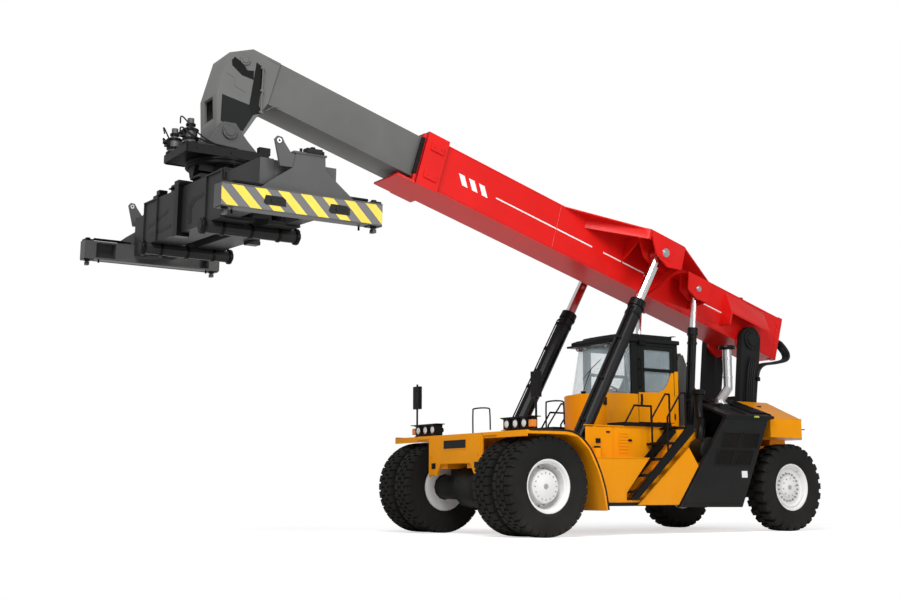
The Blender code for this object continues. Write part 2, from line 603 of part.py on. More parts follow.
def steering_console():
    floor = CAB_FLOOR + GAP
    hub, tilt = Vector((0, 0.02, 2.62)), Vector((0, 0.4, 0.9)).normalized()
    foot = hub - 0.30 * tilt
    ring = turned(hub, hub + tilt, [(-0.015, 0.17), (-0.015, 0.20), (0.015, 0.20), (0.015, 0.17)],
                  12, closed=True)
    shapes = [slab("X", (-0.12, 0.12), [(-0.42, floor), (-0.10, floor), (-0.02, 2.42), (-0.22, 2.46)]),
              bar(foot, hub + 0.01 * tilt, 0.035, 8), ring,
              block((-0.185, 0.185), (hub.y - 0.02, hub.y + 0.02), (hub.z - 0.01, hub.z + 0.01))]
    part("steering_console", BLACK, shapes)


# ---- boom -----------------------------------------------------------------------------------
def own(outline):
    """Rows (along the boom, above its pivot) as the boom's own y and z."""
    return [(-along, above) for along, above in outline]


def plan(outline):
    """Rows (x, along the boom) as the boom's own x and y."""
    return [(x, -along) for x, along in outline]


def run(start, end):
    """A span along the boom as the boom's own y."""
    return (-end, -start)


def wing(side):
    """Bracket that reaches out over the lift cylinder's eye, open below and in front."""
    row = CYLINDERS["lift"]
    inner, outer = row["x"] - row["fork"], row["x"] + row["fork"]
    edge, deck = outer + row["ear"], OUTER["high"] - 0.025
    near = OUTER["half"] - 0.01
    top = [(side * x, s) for x, s in ((near, 5.0), (edge, 3.50), (edge, 2.70), (near, 1.20))]
    front = [(side * x, s) for x, s in ((near, 4.45), (edge, 3.56), (edge, 3.51), (near, 4.38))]
    ear = [(2.70, 0.79), (2.70, 0.33), (3.00, 0.26), (3.30, 0.40), (3.50, 0.70), (3.50, 0.79)]
    web = [(side * near, OUTER["low"] + 0.02), (side * near, 0.79), (side * edge, 0.79),
           (side * edge, 0.34)]
    return [slab("Z", (deck, OUTER["high"] - 0.001), plan(top)),
            slab("Z", (0.60, OUTER["high"] - 0.002), plan(front)),
            slab("X", pair(side, outer, edge), own(ear)),
            slab("X", pair(side, inner - row["ear"], inner), own(ear)),
            slab("Y", run(2.66, 2.71), web)]


def recovery_bracket(side):
    """Ears for the second cylinder's eye."""
    row = CYLINDERS["recovery"]
    inner, outer = row["x"] - row["fork"], row["x"] + row["fork"]
    edge, near = outer + row["ear"], OUTER["half"] - 0.01
    ear = [(1.62, 0.53), (1.62, 0.12), (1.90, 0.10), (2.15, 0.20), (2.22, 0.53)]
    web = [(side * near, 0.05), (side * near, 0.53), (side * edge, 0.53), (side * edge, 0.15)]
    return [block(pair(side, near, edge), run(1.60, 2.22), (0.50, 0.535)),
            slab("Y", run(1.60, 1.635), web),
            slab("X", pair(side, outer, edge), own(ear)),
            slab("X", pair(side, inner - row["ear"], inner), own(ear))]


def shoulder(side):
    """Sloped plate over the boom's pivot."""
    near, far = OUTER["half"] - 0.01, 0.66
    section = [(side * near, 0.78), (side * far, 0.32), (side * far, 0.28), (side * near, 0.72)]
    gusset = [(side * near, 0.77), (side * far, 0.31), (side * far, 0.05), (side * near, 0.05)]
    return [slab("Y", run(-0.35, 0.75), section), slab("Y", run(0.71, 0.75), gusset)]


def outer_boom(boom):
    half, low, high, wall = (OUTER[key] for key in ("half", "low", "high", "wall"))
    nose_s = OUTER["nose"]
    collar, lip = half + 0.05, half + 0.02
    shapes = [block((-half, half), run(OUTER["tail"], nose_s), (low, high)),
              block((-collar, collar), run(nose_s - 0.50, nose_s - 0.06), (low - 0.05, high + 0.05)),
              block((-lip, lip), run(nose_s - 0.08, nose_s + 0.30), (low - 0.05, low - 0.015))]
    cuts = [block((-half + wall, half - wall), run(OUTER["tail"] + wall, nose_s - 0.45),
                  (low + wall, high - wall)),
            block((-INNER["half"] - SLIDE, INNER["half"] + SLIDE), run(nose_s - 0.50, nose_s + 0.40),
                  (INNER["low"] - GAP, INNER["high"] + SLIDE))]
    for _, side in SIDES:
        boss = turned((side * (half - wall), 0, 0), (side * 2, 0, 0),
                      [(0, 0), (0, 0.27), (SUPPORT_IN - SLIDE - half + wall, 0.27),
                       (SUPPORT_IN - SLIDE - half + wall, 0)])
        shapes += [boss] + wing(side) + recovery_bracket(side) + shoulder(side)
        cuts.append(bore((side * (half - wall - 0.05), 0, 0), (side * 0.7, 0, 0), BOOM_PIN_R))
    part("outer_boom", RED, shapes, cuts, parent=boom)


def inner_boom(boom):
    half, low, high, wall = (INNER[key] for key in ("half", "low", "high", "wall"))
    s, t = HEAD_PIN
    joint_s = INNER["nose"] - 0.05
    head = [(joint_s, high), (11.455, high), (11.807, 0.50), (11.80, -0.22), (11.65, -0.66),
            (s + 0.17, t - 0.07), (s + 0.09, t - 0.17), (s - 0.09, t - 0.17), (s - 0.17, t - 0.07),
            (11.17, -0.66), (11.07, -0.32), (joint_s, low)]
    hollow = [(joint_s - 0.02, high - 0.04), (11.44, high - 0.04), (11.765, 0.47), (11.76, -0.20),
              (11.61, -0.63), (11.22, -0.63), (11.11, -0.30), (joint_s - 0.02, low + 0.04)]
    inside = HEAD_HALF - HEAD_WALL
    shapes = [block((-half, half), run(INNER["tail"], INNER["nose"]), (low, high)),
              slab("X", (-HEAD_HALF, HEAD_HALF), own(head))]
    cuts = [block((-half + wall, half - wall), run(INNER["tail"] - 0.1, joint_s - 0.05),
                  (low + wall, high - wall)),
            slab("X", (-inside, inside), own(hollow)),
            block((-0.24, 0.24), run(joint_s - 0.10, joint_s + 0.10), (0.10, 0.64)),
            block((-0.17, 0.17), run(11.60, 11.90), (-0.58, -0.24)),
            bore((-0.5, -s, t), (0.5, -s, t), HEAD_PIN_R)]
    part("inner_boom", GREY, shapes, cuts, parent=boom)


# ---- cylinders ------------------------------------------------------------------------------
def boom_point(along, above):
    """World y and z of a point fixed in the boom at rest."""
    y, z = BOOM_PIVOT
    return (y - along * cos(BOOM_ANGLE) + above * sin(BOOM_ANGLE),
            z + along * sin(BOOM_ANGLE) + above * cos(BOOM_ANGLE))


def cylinder(kind, row):
    """Barrel and rod, built along their own +Z from the base pin."""
    base_y, base_z = row["base"]
    eye_y, eye_z = boom_point(*row["eye"])
    length = hypot(eye_y - base_y, eye_z - base_z)
    lean = asin((eye_y - base_y) / length)
    radius, rod_r, barrel = row["barrel_r"], row["rod_r"], row["barrel"]
    for word, side in SIDES:
        base = pivot(f"{kind}_base_{word}", (side * row["x"], base_y, base_z), (-lean, 0, 0))
        gland, bore_r, bore_from = radius + 0.005, rod_r + RUN, row["bore_from"]
        # rows: along the cylinder, radius
        profile = [(0.08, 0), (0.08, radius), (barrel - 0.12, radius), (barrel - 0.12, gland),
                   (barrel, gland), (barrel, bore_r), (bore_from, bore_r), (bore_from, 0)]
        half = row["eye_half"]
        foot = bar((-half, 0, 0), (half, 0, 0), row["eye_r"] + 0.02)
        hole = bore((-half - 0.1, 0, 0), (half + 0.1, 0, 0), row["pin_r"])
        part(f"{kind}_cylinder_{word}", BLACK, [turned((0, 0, 0), (0, 0, 1), profile), foot], [hole],
             parent=base)
        rod = bar((0, 0, row["rod_from"]), (0, 0, length), rod_r)
        eye = bar((-half, 0, length), (half, 0, length), row["eye_r"])
        reach = row["fork"] - SLIDE
        eye_pin = bar((-reach, 0, length), (reach, 0, length), row["pin_r"])
        part(f"{kind}_rod_{word}", CHROME, [rod, eye, eye_pin], parent=base, metallic=1.0)


# ---- spreader -------------------------------------------------------------------------------
def yoke():
    y, z = boom_point(*HEAD_PIN)
    hang = pivot("head_pin", (0, y, z))
    base = SLEW_TOP + GAP - z
    top = base + 0.13
    lug = [(-0.55, top - 0.01), (-0.28, -0.12), (-0.17, 0.06), (-0.10, 0.15), (0.10, 0.15),
           (0.17, 0.06), (0.30, -0.10), (0.50, top - 0.01)]
    shapes = [block((-0.46, 0.46), (-0.72, 0.66), (base, top))]
    for _, side in SIDES:
        shapes.append(slab("X", pair(side, HEAD_HALF + SLIDE, HEAD_HALF + 0.09), lug))
        motor = (side * 0.33, -0.60)
        shapes.append(bar((*motor, top - 0.01), (*motor, top + 0.26), 0.105, 12))
        shapes.append(bar((*motor, top + 0.24), (*motor, top + 0.42), 0.055, 8))
    shapes.append(pin((-HEAD_HALF - 0.10, 0, 0), (HEAD_HALF + 0.10, 0, 0), HEAD_PIN_R))
    part("spreader_yoke", GREY, shapes, parent=hang)


LUG_IN, LUG_OUT = 0.40, 0.47


def slew_frame():
    middle = (0, SPREADER_Y)
    low = SLEW_TOP - SLEW_T
    shapes = [bar((*middle, SLEW_TOP), (*middle, low), SLEW_R, 24)]
    cuts = []
    for _, side in SIDES:
        y = tuple(SPREADER_Y + b for b in pair(side, LUG_IN, LUG_OUT))
        outline = [(-0.16, low + 0.02), (-0.09, SLOPE_Z)]
        outline += arc((0, SLOPE_Z), 0.09, 180, 360, 6)[1:] + [(0.16, low + 0.02)]
        shapes.append(slab("Y", y, outline))
    cuts.append(bore((0, SPREADER_Y - 0.6, SLOPE_Z), (0, SPREADER_Y + 0.6, SLOPE_Z), SLOPE_PIN_R))
    part("slew_frame", BLACK, shapes, cuts)


def hanger(slope):
    """Hangs from the slope pin and hooks under the main beams, which slide through it."""
    top, low = BEAM["high"] - SPREADER_DROP, BEAM["low"] - SPREADER_DROP
    reach, half = BEAM["out"] + 0.09, 0.09
    shapes = [bar((0, -LUG_IN + SLIDE, 0), (0, LUG_IN - SLIDE, 0), 0.075),
              pin((0, -LUG_OUT, 0), (0, LUG_OUT, 0), SLOPE_PIN_R),
              block((-half + 0.01, half - 0.01), (-LUG_IN + 0.03, LUG_IN - 0.03), (top + 0.02, 0)),
              block((-half, half), (-reach, reach), (top + SLIDE, top + 0.09))]
    for _, side in SIDES:
        post_y, foot_y = pair(side, BEAM["out"] + 0.02, reach - 0.005), pair(side, BEAM["out"] - 0.12, reach)
        shapes.append(block((-half + 0.01, half - 0.01), post_y, (low - 0.05, top + 0.05)))
        shapes.append(block((-half, half), foot_y, (low - 0.06, low - GAP)))
    part("spreader_hanger", BLACK, shapes, parent=slope)


def spreader_frame(slope):
    drop, wall = SPREADER_DROP, BEAM["wall"]
    low, high = BEAM["low"] - drop, BEAM["high"] - drop
    half = BEAM["half"]
    shapes, cuts = [], []
    for _, side in SIDES:
        shapes.append(block((-half, half), pair(side, BEAM["in"], BEAM["out"]), (low, high)))
        cuts.append(block((-half - 0.1, half + 0.1), pair(side, BEAM["in"] + wall, BEAM["out"] - wall),
                          (low + wall, high - wall)))
    for _, side in SIDES:
        shapes.append(block(pair(side, half - 0.16, half - 0.04), (-BEAM["in"] - 0.01, BEAM["in"] + 0.01),
                            (low + 0.08, high - 0.08)))
        x = side * 1.25
        shapes.append(bar((x, -0.78, low - 0.08), (x, 0.78, low - 0.08), 0.10, 10))
    part("spreader_frame", GREY, shapes, cuts, parent=slope)


def end_beam(word, side, slope):
    """Two telescopic arms with the end beam, its gusset and its twistlocks."""
    drop, wall = SPREADER_DROP, BEAM["wall"]
    floor = BEAM["low"] + wall + GAP - drop
    roof = BEAM["high"] - wall - 0.03 - drop
    middle = (BEAM["in"] + BEAM["out"]) / 2
    lane = (BEAM["out"] - BEAM["in"]) / 2 - wall - 0.015
    near = middle + 0.01 if side > 0 else middle - 0.01 - lane
    inner_x = END_X - END_T
    shapes, cuts = [], []
    for _, row in SIDES:
        y = pair(row, near, near + lane)
        shapes.append(block(pair(side, -BEAM["half"] + 0.03, inner_x + 0.02), y, (floor, roof)))
        cuts.append(block(pair(side, -BEAM["half"] - 0.1, inner_x - 0.10),
                          (y[0] + 0.015, y[1] - 0.015), (floor + 0.015, roof - 0.015)))
    tie = near + lane - 0.01
    shapes.append(block(pair(side, inner_x - 0.09, inner_x + 0.01), (-tie, tie), (floor + 0.01, roof - 0.01)))
    shapes.append(block(pair(side, inner_x, END_X), (-END_HALF_Y, END_HALF_Y), (-0.16 - drop, 0.15 - drop)))
    gusset = [(-0.66, 0.14), (-0.46, 0.30), (-0.17, 0.50), (-0.13, 0.72), (0.32, 0.72), (0.33, 0.52),
              (0.82, 0.14)]
    shapes.append(slab("X", pair(side, END_X - 0.10, END_X - 0.06), [(y, z - drop) for y, z in gusset]))
    for _, row in SIDES:
        cuts.append(block(pair(side, inner_x - 0.1, END_X - 0.03), pair(row, 0.68, END_HALF_Y - 0.20),
                          (-0.13 - drop, 0.12 - drop)))
        lock = (side * TWISTLOCK[0], row * TWISTLOCK[1])
        shapes.append(bar((*lock, -0.14 - drop), (*lock, -0.22 - drop), 0.035, 8))
        shapes.append(block((lock[0] - 0.05, lock[0] + 0.05), (lock[1] - 0.028, lock[1] + 0.028),
                            (-0.26 - drop, -0.21 - drop)))
    part(f"end_beam_{word}", GREY, shapes, cuts, parent=slope)


# ---- the machine ----------------------------------------------------------------------------
def build():
    front_axle(front_wheels())
    rear_wheels()
    steer_axle()
    chassis_frame()
    engine_block()
    front_deck()
    for word, side in SIDES:
        fender(word, side)
        body_side(word, side)
        steps(word, side)
        side_panel(word, side)
        lamps_and_mirror(word, side)
    engine_hood()
    exhaust_stack()
    rear_cover()
    counterweight()
    boom_support()
    cab_base()
    cab_frame()
    cab_roof()
    windshield()
    cab_door()
    operator_seat()
    steering_console()
    boom = pivot("boom_pivot", (0, *BOOM_PIVOT), (-BOOM_ANGLE, 0, 0))
    outer_boom(boom)
    inner_boom(boom)
    for kind, row in CYLINDERS.items():
        cylinder(kind, row)
    yoke()
    slew_frame()
    slope = pivot("slope_pin", (0, SPREADER_Y, SLOPE_Z), (0, SLOPE_REST, 0))
    hanger(slope)
    spreader_frame(slope)
    for word, side in SIDES:
        end_beam(word, side, slope)


build()
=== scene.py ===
"""Looks of the reach stacker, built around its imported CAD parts. Metres, +Z up, front at -Y."""
import json
from math import atan2, cos, pi, radians, sin, tau

import bmesh
import bpy
from mathutils import Matrix, Vector

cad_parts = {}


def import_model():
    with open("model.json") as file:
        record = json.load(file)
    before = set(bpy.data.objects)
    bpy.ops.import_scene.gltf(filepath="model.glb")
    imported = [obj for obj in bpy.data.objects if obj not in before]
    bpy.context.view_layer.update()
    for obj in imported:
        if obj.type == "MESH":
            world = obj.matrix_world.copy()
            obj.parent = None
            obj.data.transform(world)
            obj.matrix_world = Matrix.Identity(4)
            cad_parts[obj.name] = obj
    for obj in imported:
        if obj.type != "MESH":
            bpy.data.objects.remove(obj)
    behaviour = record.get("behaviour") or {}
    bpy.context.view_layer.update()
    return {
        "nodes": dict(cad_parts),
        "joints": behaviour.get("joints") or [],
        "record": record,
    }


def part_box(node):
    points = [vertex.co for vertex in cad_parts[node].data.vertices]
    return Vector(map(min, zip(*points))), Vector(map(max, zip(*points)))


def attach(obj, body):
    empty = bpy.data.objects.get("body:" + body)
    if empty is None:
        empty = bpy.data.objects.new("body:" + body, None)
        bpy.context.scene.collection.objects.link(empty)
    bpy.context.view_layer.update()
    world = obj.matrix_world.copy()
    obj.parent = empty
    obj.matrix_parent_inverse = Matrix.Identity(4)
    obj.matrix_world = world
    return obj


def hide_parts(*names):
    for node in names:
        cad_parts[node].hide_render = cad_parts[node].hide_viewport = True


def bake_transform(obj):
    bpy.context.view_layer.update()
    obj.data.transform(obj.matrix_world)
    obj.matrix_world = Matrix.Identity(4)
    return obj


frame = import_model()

NODES = frame["nodes"]
JOINTS = {joint["name"]: joint for joint in frame["joints"]}
SLOTS = {row["node"]: row["material_slot"] for row in frame["record"]["subparts"]}
BODY = {node: body for body, nodes in frame["record"]["behaviour"]["bodies"].items() for node in nodes}
SIDES = (("left", 1), ("right", -1))


def middle(node):
    low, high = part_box(node)
    return (low + high) / 2


FRONT_AXLE, REAR_AXLE = middle("front_rim_left"), middle("rear_rim_left")
MID_Y = (FRONT_AXLE.y + REAR_AXLE.y) / 2
BOOM_PIVOT = Vector((0, *JOINTS["boom_lift"]["pos_m"][1:]))
ALONG = Vector(JOINTS["boom_extend"]["axis"]).normalized()
ALONG = -ALONG if ALONG.y > 0 else ALONG
ABOVE = Vector((0, ALONG.z, -ALONG.y))
HEAD_PIN = Vector((0, *JOINTS["head_level"]["pos_m"][1:]))


# ---- places -------------------------------------------------------------------------------------
def ground(x, y, z):
    """A point of the machine, y measured back from midway between the axles."""
    return Vector((x, y + MID_Y, z))


def boom(x, along, above):
    """A point fixed in the boom, seen from its pivot."""
    return BOOM_PIVOT + Vector((x, 0, 0)) + along * ALONG + above * ABOVE


def mirrored(place, side):
    return lambda x, y, z: place(side * x, y, z)


# ---- camera, stage and light --------------------------------------------------------------------
def camera():
    data = bpy.data.cameras.new("camera")
    data.lens, data.sensor_width = 50.365, 36
    data.clip_end = 500
    made = bpy.data.objects.new("camera", data)
    made.location = (18.083, -13.054, 0.7145)
    made.rotation_euler = (radians(90 + 8.688), 0, radians(56.683))
    bpy.context.scene.collection.objects.link(made)
    bpy.context.scene.camera = made


def world(light, reflected):
    """White to the camera and through glass, softer in reflections and softest as light."""
    made = bpy.data.worlds.new("studio")
    bpy.context.scene.world = made
    made.use_nodes = True
    tree = made.node_tree
    tree.nodes.clear()
    path = tree.nodes.new("ShaderNodeLightPath")

    def sky(strength):
        background = tree.nodes.new("ShaderNodeBackground")
        background.inputs["Strength"].default_value = strength
        background.inputs["Color"].default_value = (1, 1, 1, 1)
        return background.outputs[0]
    seen = sky(light)
    for kind, strength in (("Is Glossy Ray", reflected), ("Is Transmission Ray", 1.0), ("Is Camera Ray", 1.0)):
        mix = tree.nodes.new("ShaderNodeMixShader")
        tree.links.new(path.outputs[kind], mix.inputs[0])
        tree.links.new(seen, mix.inputs[1])
        tree.links.new(sky(strength), mix.inputs[2])
        seen = mix.outputs[0]
    output = tree.nodes.new("ShaderNodeOutputWorld")
    tree.links.new(seen, output.inputs[0])


def lamp(name, place, target, size, power):
    data = bpy.data.lights.new(name, "AREA")
    data.shape, data.size, data.energy = "DISK", size, power
    made = bpy.data.objects.new(name, data)
    made.location = place
    made.rotation_euler = (Vector(target) - Vector(place)).to_track_quat("-Z", "Y").to_euler()
    bpy.context.scene.collection.objects.link(made)


def floor(lift):
    """A white floor that keeps the machine's shadow and fades into the white background."""
    bpy.ops.mesh.primitive_circle_add(vertices=96, radius=120, fill_type="NGON")
    made = bpy.context.object
    made.name = "floor"
    material = bpy.data.materials.new("floor_white")
    material.use_nodes = True
    tree = material.node_tree
    shader = tree.nodes["Principled BSDF"]
    shader.inputs["Base Color"].default_value = (0.80, 0.80, 0.80, 1)
    shader.inputs["Roughness"].default_value = 0.6
    shader.inputs["Specular IOR Level"].default_value = 0.1
    path = tree.nodes.new("ShaderNodeLightPath")
    glow = tree.nodes.new("ShaderNodeEmission")
    glow.inputs["Color"].default_value = (1, 1, 1, 1)
    raised = tree.nodes.new("ShaderNodeMath")
    raised.operation = "MULTIPLY"
    raised.inputs[1].default_value = lift
    tree.links.new(path.outputs["Is Camera Ray"], raised.inputs[0])
    low_glow = tree.nodes.new("ShaderNodeEmission")
    tree.links.new(raised.outputs[0], low_glow.inputs["Strength"])
    near = tree.nodes.new("ShaderNodeAddShader")
    place = tree.nodes.new("ShaderNodeTexCoord")
    reach = tree.nodes.new("ShaderNodeVectorMath")
    reach.operation = "LENGTH"
    fade = tree.nodes.new("ShaderNodeMapRange")
    fade.inputs["From Min"].default_value = 5.0
    fade.inputs["From Max"].default_value = 14.0
    fade.interpolation_type = "SMOOTHSTEP"
    mix = tree.nodes.new("ShaderNodeMixShader")
    tree.links.new(shader.outputs[0], near.inputs[0])
    tree.links.new(low_glow.outputs[0], near.inputs[1])
    tree.links.new(place.outputs["Object"], reach.inputs[0])
    tree.links.new(reach.outputs["Value"], fade.inputs["Value"])
    tree.links.new(fade.outputs["Result"], mix.inputs[0])
    tree.links.new(near.outputs[0], mix.inputs[1])
    tree.links.new(glow.outputs[0], mix.inputs[2])
    tree.links.new(mix.outputs[0], tree.nodes["Material Output"].inputs["Surface"])
    made.data.materials.append(material)


# ---- materials ----------------------------------------------------------------------------------
def new_node(tree, kind, **values):
    """A node with its sockets set, or linked where a value is another node's output."""
    made = tree.nodes.new(kind)
    for name, value in values.items():
        key = name.replace("_", " ")
        if key in made.inputs:
            if isinstance(value, bpy.types.NodeSocket):
                tree.links.new(value, made.inputs[key])
            else:
                made.inputs[key].default_value = value
        else:
            setattr(made, name, value)
    return made


def ramp(tree, factor, low, high):
    """0 at low, 1 at high."""
    made = new_node(tree, "ShaderNodeMapRange", Value=factor)
    made.inputs["From Min"].default_value = low
    made.inputs["From Max"].default_value = high
    return made.outputs["Result"]


def times(tree, first, second):
    made = new_node(tree, "ShaderNodeMath", operation="MULTIPLY")
    for socket, value in zip(made.inputs, (first, second)):
        if isinstance(value, bpy.types.NodeSocket):
            tree.links.new(value, socket)
        else:
            socket.default_value = value
    return made.outputs[0]


def blend_colour(tree, factor, first, second, mode="MIX"):
    made = tree.nodes.new("ShaderNodeMix")
    made.data_type, made.blend_type = "RGBA", mode
    for socket, value in ((made.inputs[0], factor), (made.inputs[6], first), (made.inputs[7], second)):
        if isinstance(value, bpy.types.NodeSocket):
            tree.links.new(value, socket)
        elif isinstance(value, (int, float)):
            socket.default_value = value
        else:
            socket.default_value = (*value, 1)
    return made.outputs[2]


DUST, GRIME = (0.30, 0.27, 0.23), (0.05, 0.045, 0.04)


def finish(name, colour, rough=0.4, metal=0.0, coat=0.0, mottle=0.10, grain=90.0, bump=0.02, dust=0.0,
           wear=0.0, shine=0.3):
    """Painted or bare surface: slow colour drift, grain in roughness and relief, dust low down, and
    paint rubbed paler in small patches."""
    material = bpy.data.materials.new(name)
    material.use_nodes = True
    tree = material.node_tree
    shader = tree.nodes["Principled BSDF"]
    place = tree.nodes.new("ShaderNodeTexCoord").outputs["Object"]
    drift = new_node(tree, "ShaderNodeTexNoise", Vector=place, Scale=1.7, Detail=6.0).outputs["Fac"]
    fine = new_node(tree, "ShaderNodeTexNoise", Vector=place, Scale=grain, Detail=3.0).outputs["Fac"]
    darker = tuple(c * (1 - 2 * mottle) for c in colour)
    tone = blend_colour(tree, ramp(tree, drift, 0.3, 0.7), darker, colour)
    if wear:
        patch = new_node(tree, "ShaderNodeTexNoise", Vector=place, Scale=6.0, Detail=8.0,
                         Roughness=0.7).outputs["Fac"]
        amount = times(tree, ramp(tree, patch, 0.62, 0.70), wear)
        tone = blend_colour(tree, amount, tone, tuple(min(1, 1.5 * c + 0.03) for c in colour))
    if dust:
        height = new_node(tree, "ShaderNodeSeparateXYZ", Vector=place).outputs["Z"]
        amount = times(tree, times(tree, ramp(tree, height, 1.6, 0.0), drift), dust)
        tone = blend_colour(tree, amount, tone, DUST)
    tree.links.new(tone, shader.inputs["Base Color"])
    span = new_node(tree, "ShaderNodeMapRange", Value=fine)
    span.inputs["To Min"].default_value = max(rough - 0.08, 0.03)
    span.inputs["To Max"].default_value = rough + 0.08
    tree.links.new(span.outputs["Result"], shader.inputs["Roughness"])
    relief = new_node(tree, "ShaderNodeBump", Height=fine, Strength=bump, Distance=0.01)
    tree.links.new(relief.outputs["Normal"], shader.inputs["Normal"])
    shader.inputs["Metallic"].default_value = metal
    shader.inputs["Specular IOR Level"].default_value = shine
    shader.inputs["Coat Weight"].default_value = coat
    shader.inputs["Coat Roughness"].default_value = 0.08
    return material


def glass(name, colour, alpha):
    material = bpy.data.materials.new(name)
    material.use_nodes = True
    tree = material.node_tree
    shader = tree.nodes["Principled BSDF"]
    place = tree.nodes.new("ShaderNodeTexCoord").outputs["Object"]
    drift = new_node(tree, "ShaderNodeTexNoise", Vector=place, Scale=2.5, Detail=2.0).outputs["Fac"]
    paler = tuple(min(1, c * 1.1) for c in colour)
    tree.links.new(blend_colour(tree, drift, colour, paler), shader.inputs["Base Color"])
    shader.inputs["Roughness"].default_value = 0.03
    shader.inputs["Alpha"].default_value = alpha
    return material


def woven(name, colour):
    """Ribbed seat cloth: fine crossing threads in colour and relief."""
    material = finish(name, colour, 0.9, mottle=0.12, grain=300.0, bump=0.2)
    tree = material.node_tree
    shader = tree.nodes["Principled BSDF"]
    place = tree.nodes.new("ShaderNodeTexCoord").outputs["Object"]
    threads = []
    for direction in ("X", "Z"):
        threads.append(new_node(tree, "ShaderNodeTexWave", Vector=place, Scale=120.0,
                                bands_direction=direction).outputs["Fac"])
    weave = times(tree, *threads)
    base = shader.inputs["Base Color"].links[0].from_socket
    tree.links.new(blend_colour(tree, weave, base, tuple(2 * c for c in colour)), shader.inputs["Base Color"])
    relief = new_node(tree, "ShaderNodeBump", Height=weave, Strength=0.4, Distance=0.002)
    tree.links.new(relief.outputs["Normal"], shader.inputs["Normal"])
    shader.inputs["Sheen Weight"].default_value = 0.3
    shader.inputs["Sheen Roughness"].default_value = 0.5
    return material


def stripes(name, first, second, period, along, up):
    """Diagonal warning stripes; along and up are the two directions of the striped face."""
    material = finish(name, first, rough=0.35, coat=0.3, wear=0.3)
    tree = material.node_tree
    shader = tree.nodes["Principled BSDF"]
    place = tree.nodes.new("ShaderNodeTexCoord").outputs["Object"]
    slant = new_node(tree, "ShaderNodeVectorMath", operation="DOT_PRODUCT")
    tree.links.new(place, slant.inputs[0])
    slant.inputs[1].default_value = (Vector(along) + Vector(up)) / period
    turn = new_node(tree, "ShaderNodeMath", operation="FRACT")
    tree.links.new(slant.outputs["Value"], turn.inputs[0])
    side = new_node(tree, "ShaderNodeMath", operation="GREATER_THAN")
    tree.links.new(turn.outputs[0], side.inputs[0])
    side.inputs[1].default_value = 0.5
    plain = shader.inputs["Base Color"].links[0].from_socket
    tree.links.new(blend_colour(tree, side.outputs[0], plain, second), shader.inputs["Base Color"])
    return material


PAINT = {
    "yellow": finish("yellow_paint", (0.88, 0.32, 0.001), 0.38, mottle=0.04, dust=0.12, wear=0.08, shine=0.1),
    "red": finish("red_paint", (0.68, 0.008, 0.006), 0.36, coat=0.06, mottle=0.05, wear=0.06, shine=0.2),
    # darker copy of the red paint for the faces inside the boom's box: painted shade
    "red_painted_shade": finish("red_painted_shade_inside", (0.22, 0.004, 0.004), 0.45, mottle=0.10),
    "grey": finish("grey_paint", (0.125, 0.127, 0.123), 0.42, mottle=0.07, wear=0.12),
    "dark_grey": finish("dark_grey_paint", (0.070, 0.071, 0.070), 0.42, mottle=0.08, wear=0.15),
    "beam": finish("beam_grey_paint", (0.020, 0.021, 0.020), 0.45, mottle=0.12, wear=0.25, shine=0.2),
    "charcoal": finish("charcoal_paint", (0.011, 0.0115, 0.012), 0.42, dust=0.06, wear=0.12, shine=0.12),
    "black": finish("black_paint", (0.003, 0.003, 0.0035), 0.36, dust=0.04, wear=0.08, shine=0.15),
    "white": finish("white_paint", (0.88, 0.88, 0.87), 0.38, coat=0.1, dust=0.25, mottle=0.03),
    "chrome": finish("chrome", (0.80, 0.80, 0.81), 0.12, metal=1.0, mottle=0.02, bump=0.004),
    "steel": finish("bright_steel", (0.50, 0.50, 0.51), 0.32, metal=1.0, mottle=0.06),
    "rubber": finish("rubber", (0.009, 0.009, 0.009), 0.65, mottle=0.18, grain=140.0, bump=0.10, dust=0.10,
                     shine=0.12),
    "hose": finish("hose_rubber", (0.008, 0.008, 0.009), 0.5, mottle=0.1, bump=0.05, shine=0.2),
    "trim": finish("cab_plastic", (0.022, 0.023, 0.026), 0.6, mottle=0.05, grain=220.0, bump=0.08),
    "fabric": woven("seat_cloth", (0.03, 0.031, 0.037)),
    "line": finish("white_line", (0.85, 0.83, 0.81), 0.35, coat=0.1, mottle=0.03, wear=0.1),
    "lens": finish("lamp_lens", (0.70, 0.72, 0.74), 0.1, coat=0.6, mottle=0.05, grain=60.0, bump=0.1),
    "amber": finish("amber_lens", (0.80, 0.25, 0.01), 0.12, coat=0.6, mottle=0.05, bump=0.05),
    "green": finish("green_lens", (0.50, 0.62, 0.05), 0.12, coat=0.6, mottle=0.05, bump=0.05),
    "signal": finish("red_lens", (0.5, 0.01, 0.01), 0.12, coat=0.6, mottle=0.05, bump=0.05),
    "mirror": finish("mirror_glass", (0.85, 0.87, 0.88), 0.06, metal=1.0, mottle=0.01, bump=0.0),
    "mesh": finish("grille_mesh", (0.010, 0.008, 0.007), 0.6, mottle=0.2, grain=160.0, bump=0.6, shine=0.1),
    "glass": glass("cab_glass", (0.66, 0.80, 0.86), 0.20),
    "warning": stripes("warning_stripes", (0.86, 0.62, 0.01), (0.075, 0.072, 0.078), 0.29,
                       (0, -0.86, 0), (0, 0, -0.86)),
}
SLOT_PAINT = {"yellow_paint": "yellow", "red_paint": "red", "grey_paint": "grey", "charcoal_paint": "charcoal",
              "black_paint": "black", "white_paint": "white", "chrome": "chrome", "polished_steel": "steel",
              "tyre_rubber": "rubber", "cab_trim": "trim", "seat_fabric": "fabric", "glass": "glass",
              "striped_paint": "dark_grey"}


# ---- shapes -------------------------------------------------------------------------------------
def brick(shape, place, a, b, c):
    corners = [shape.verts.new(place(i, j, k)) for k in c for j in b for i in a]
    for face in ((0, 1, 3, 2), (4, 5, 7, 6), (0, 1, 5, 4), (2, 3, 7, 6), (0, 2, 6, 4), (1, 3, 7, 5)):
        shape.faces.new([corners[n] for n in face])


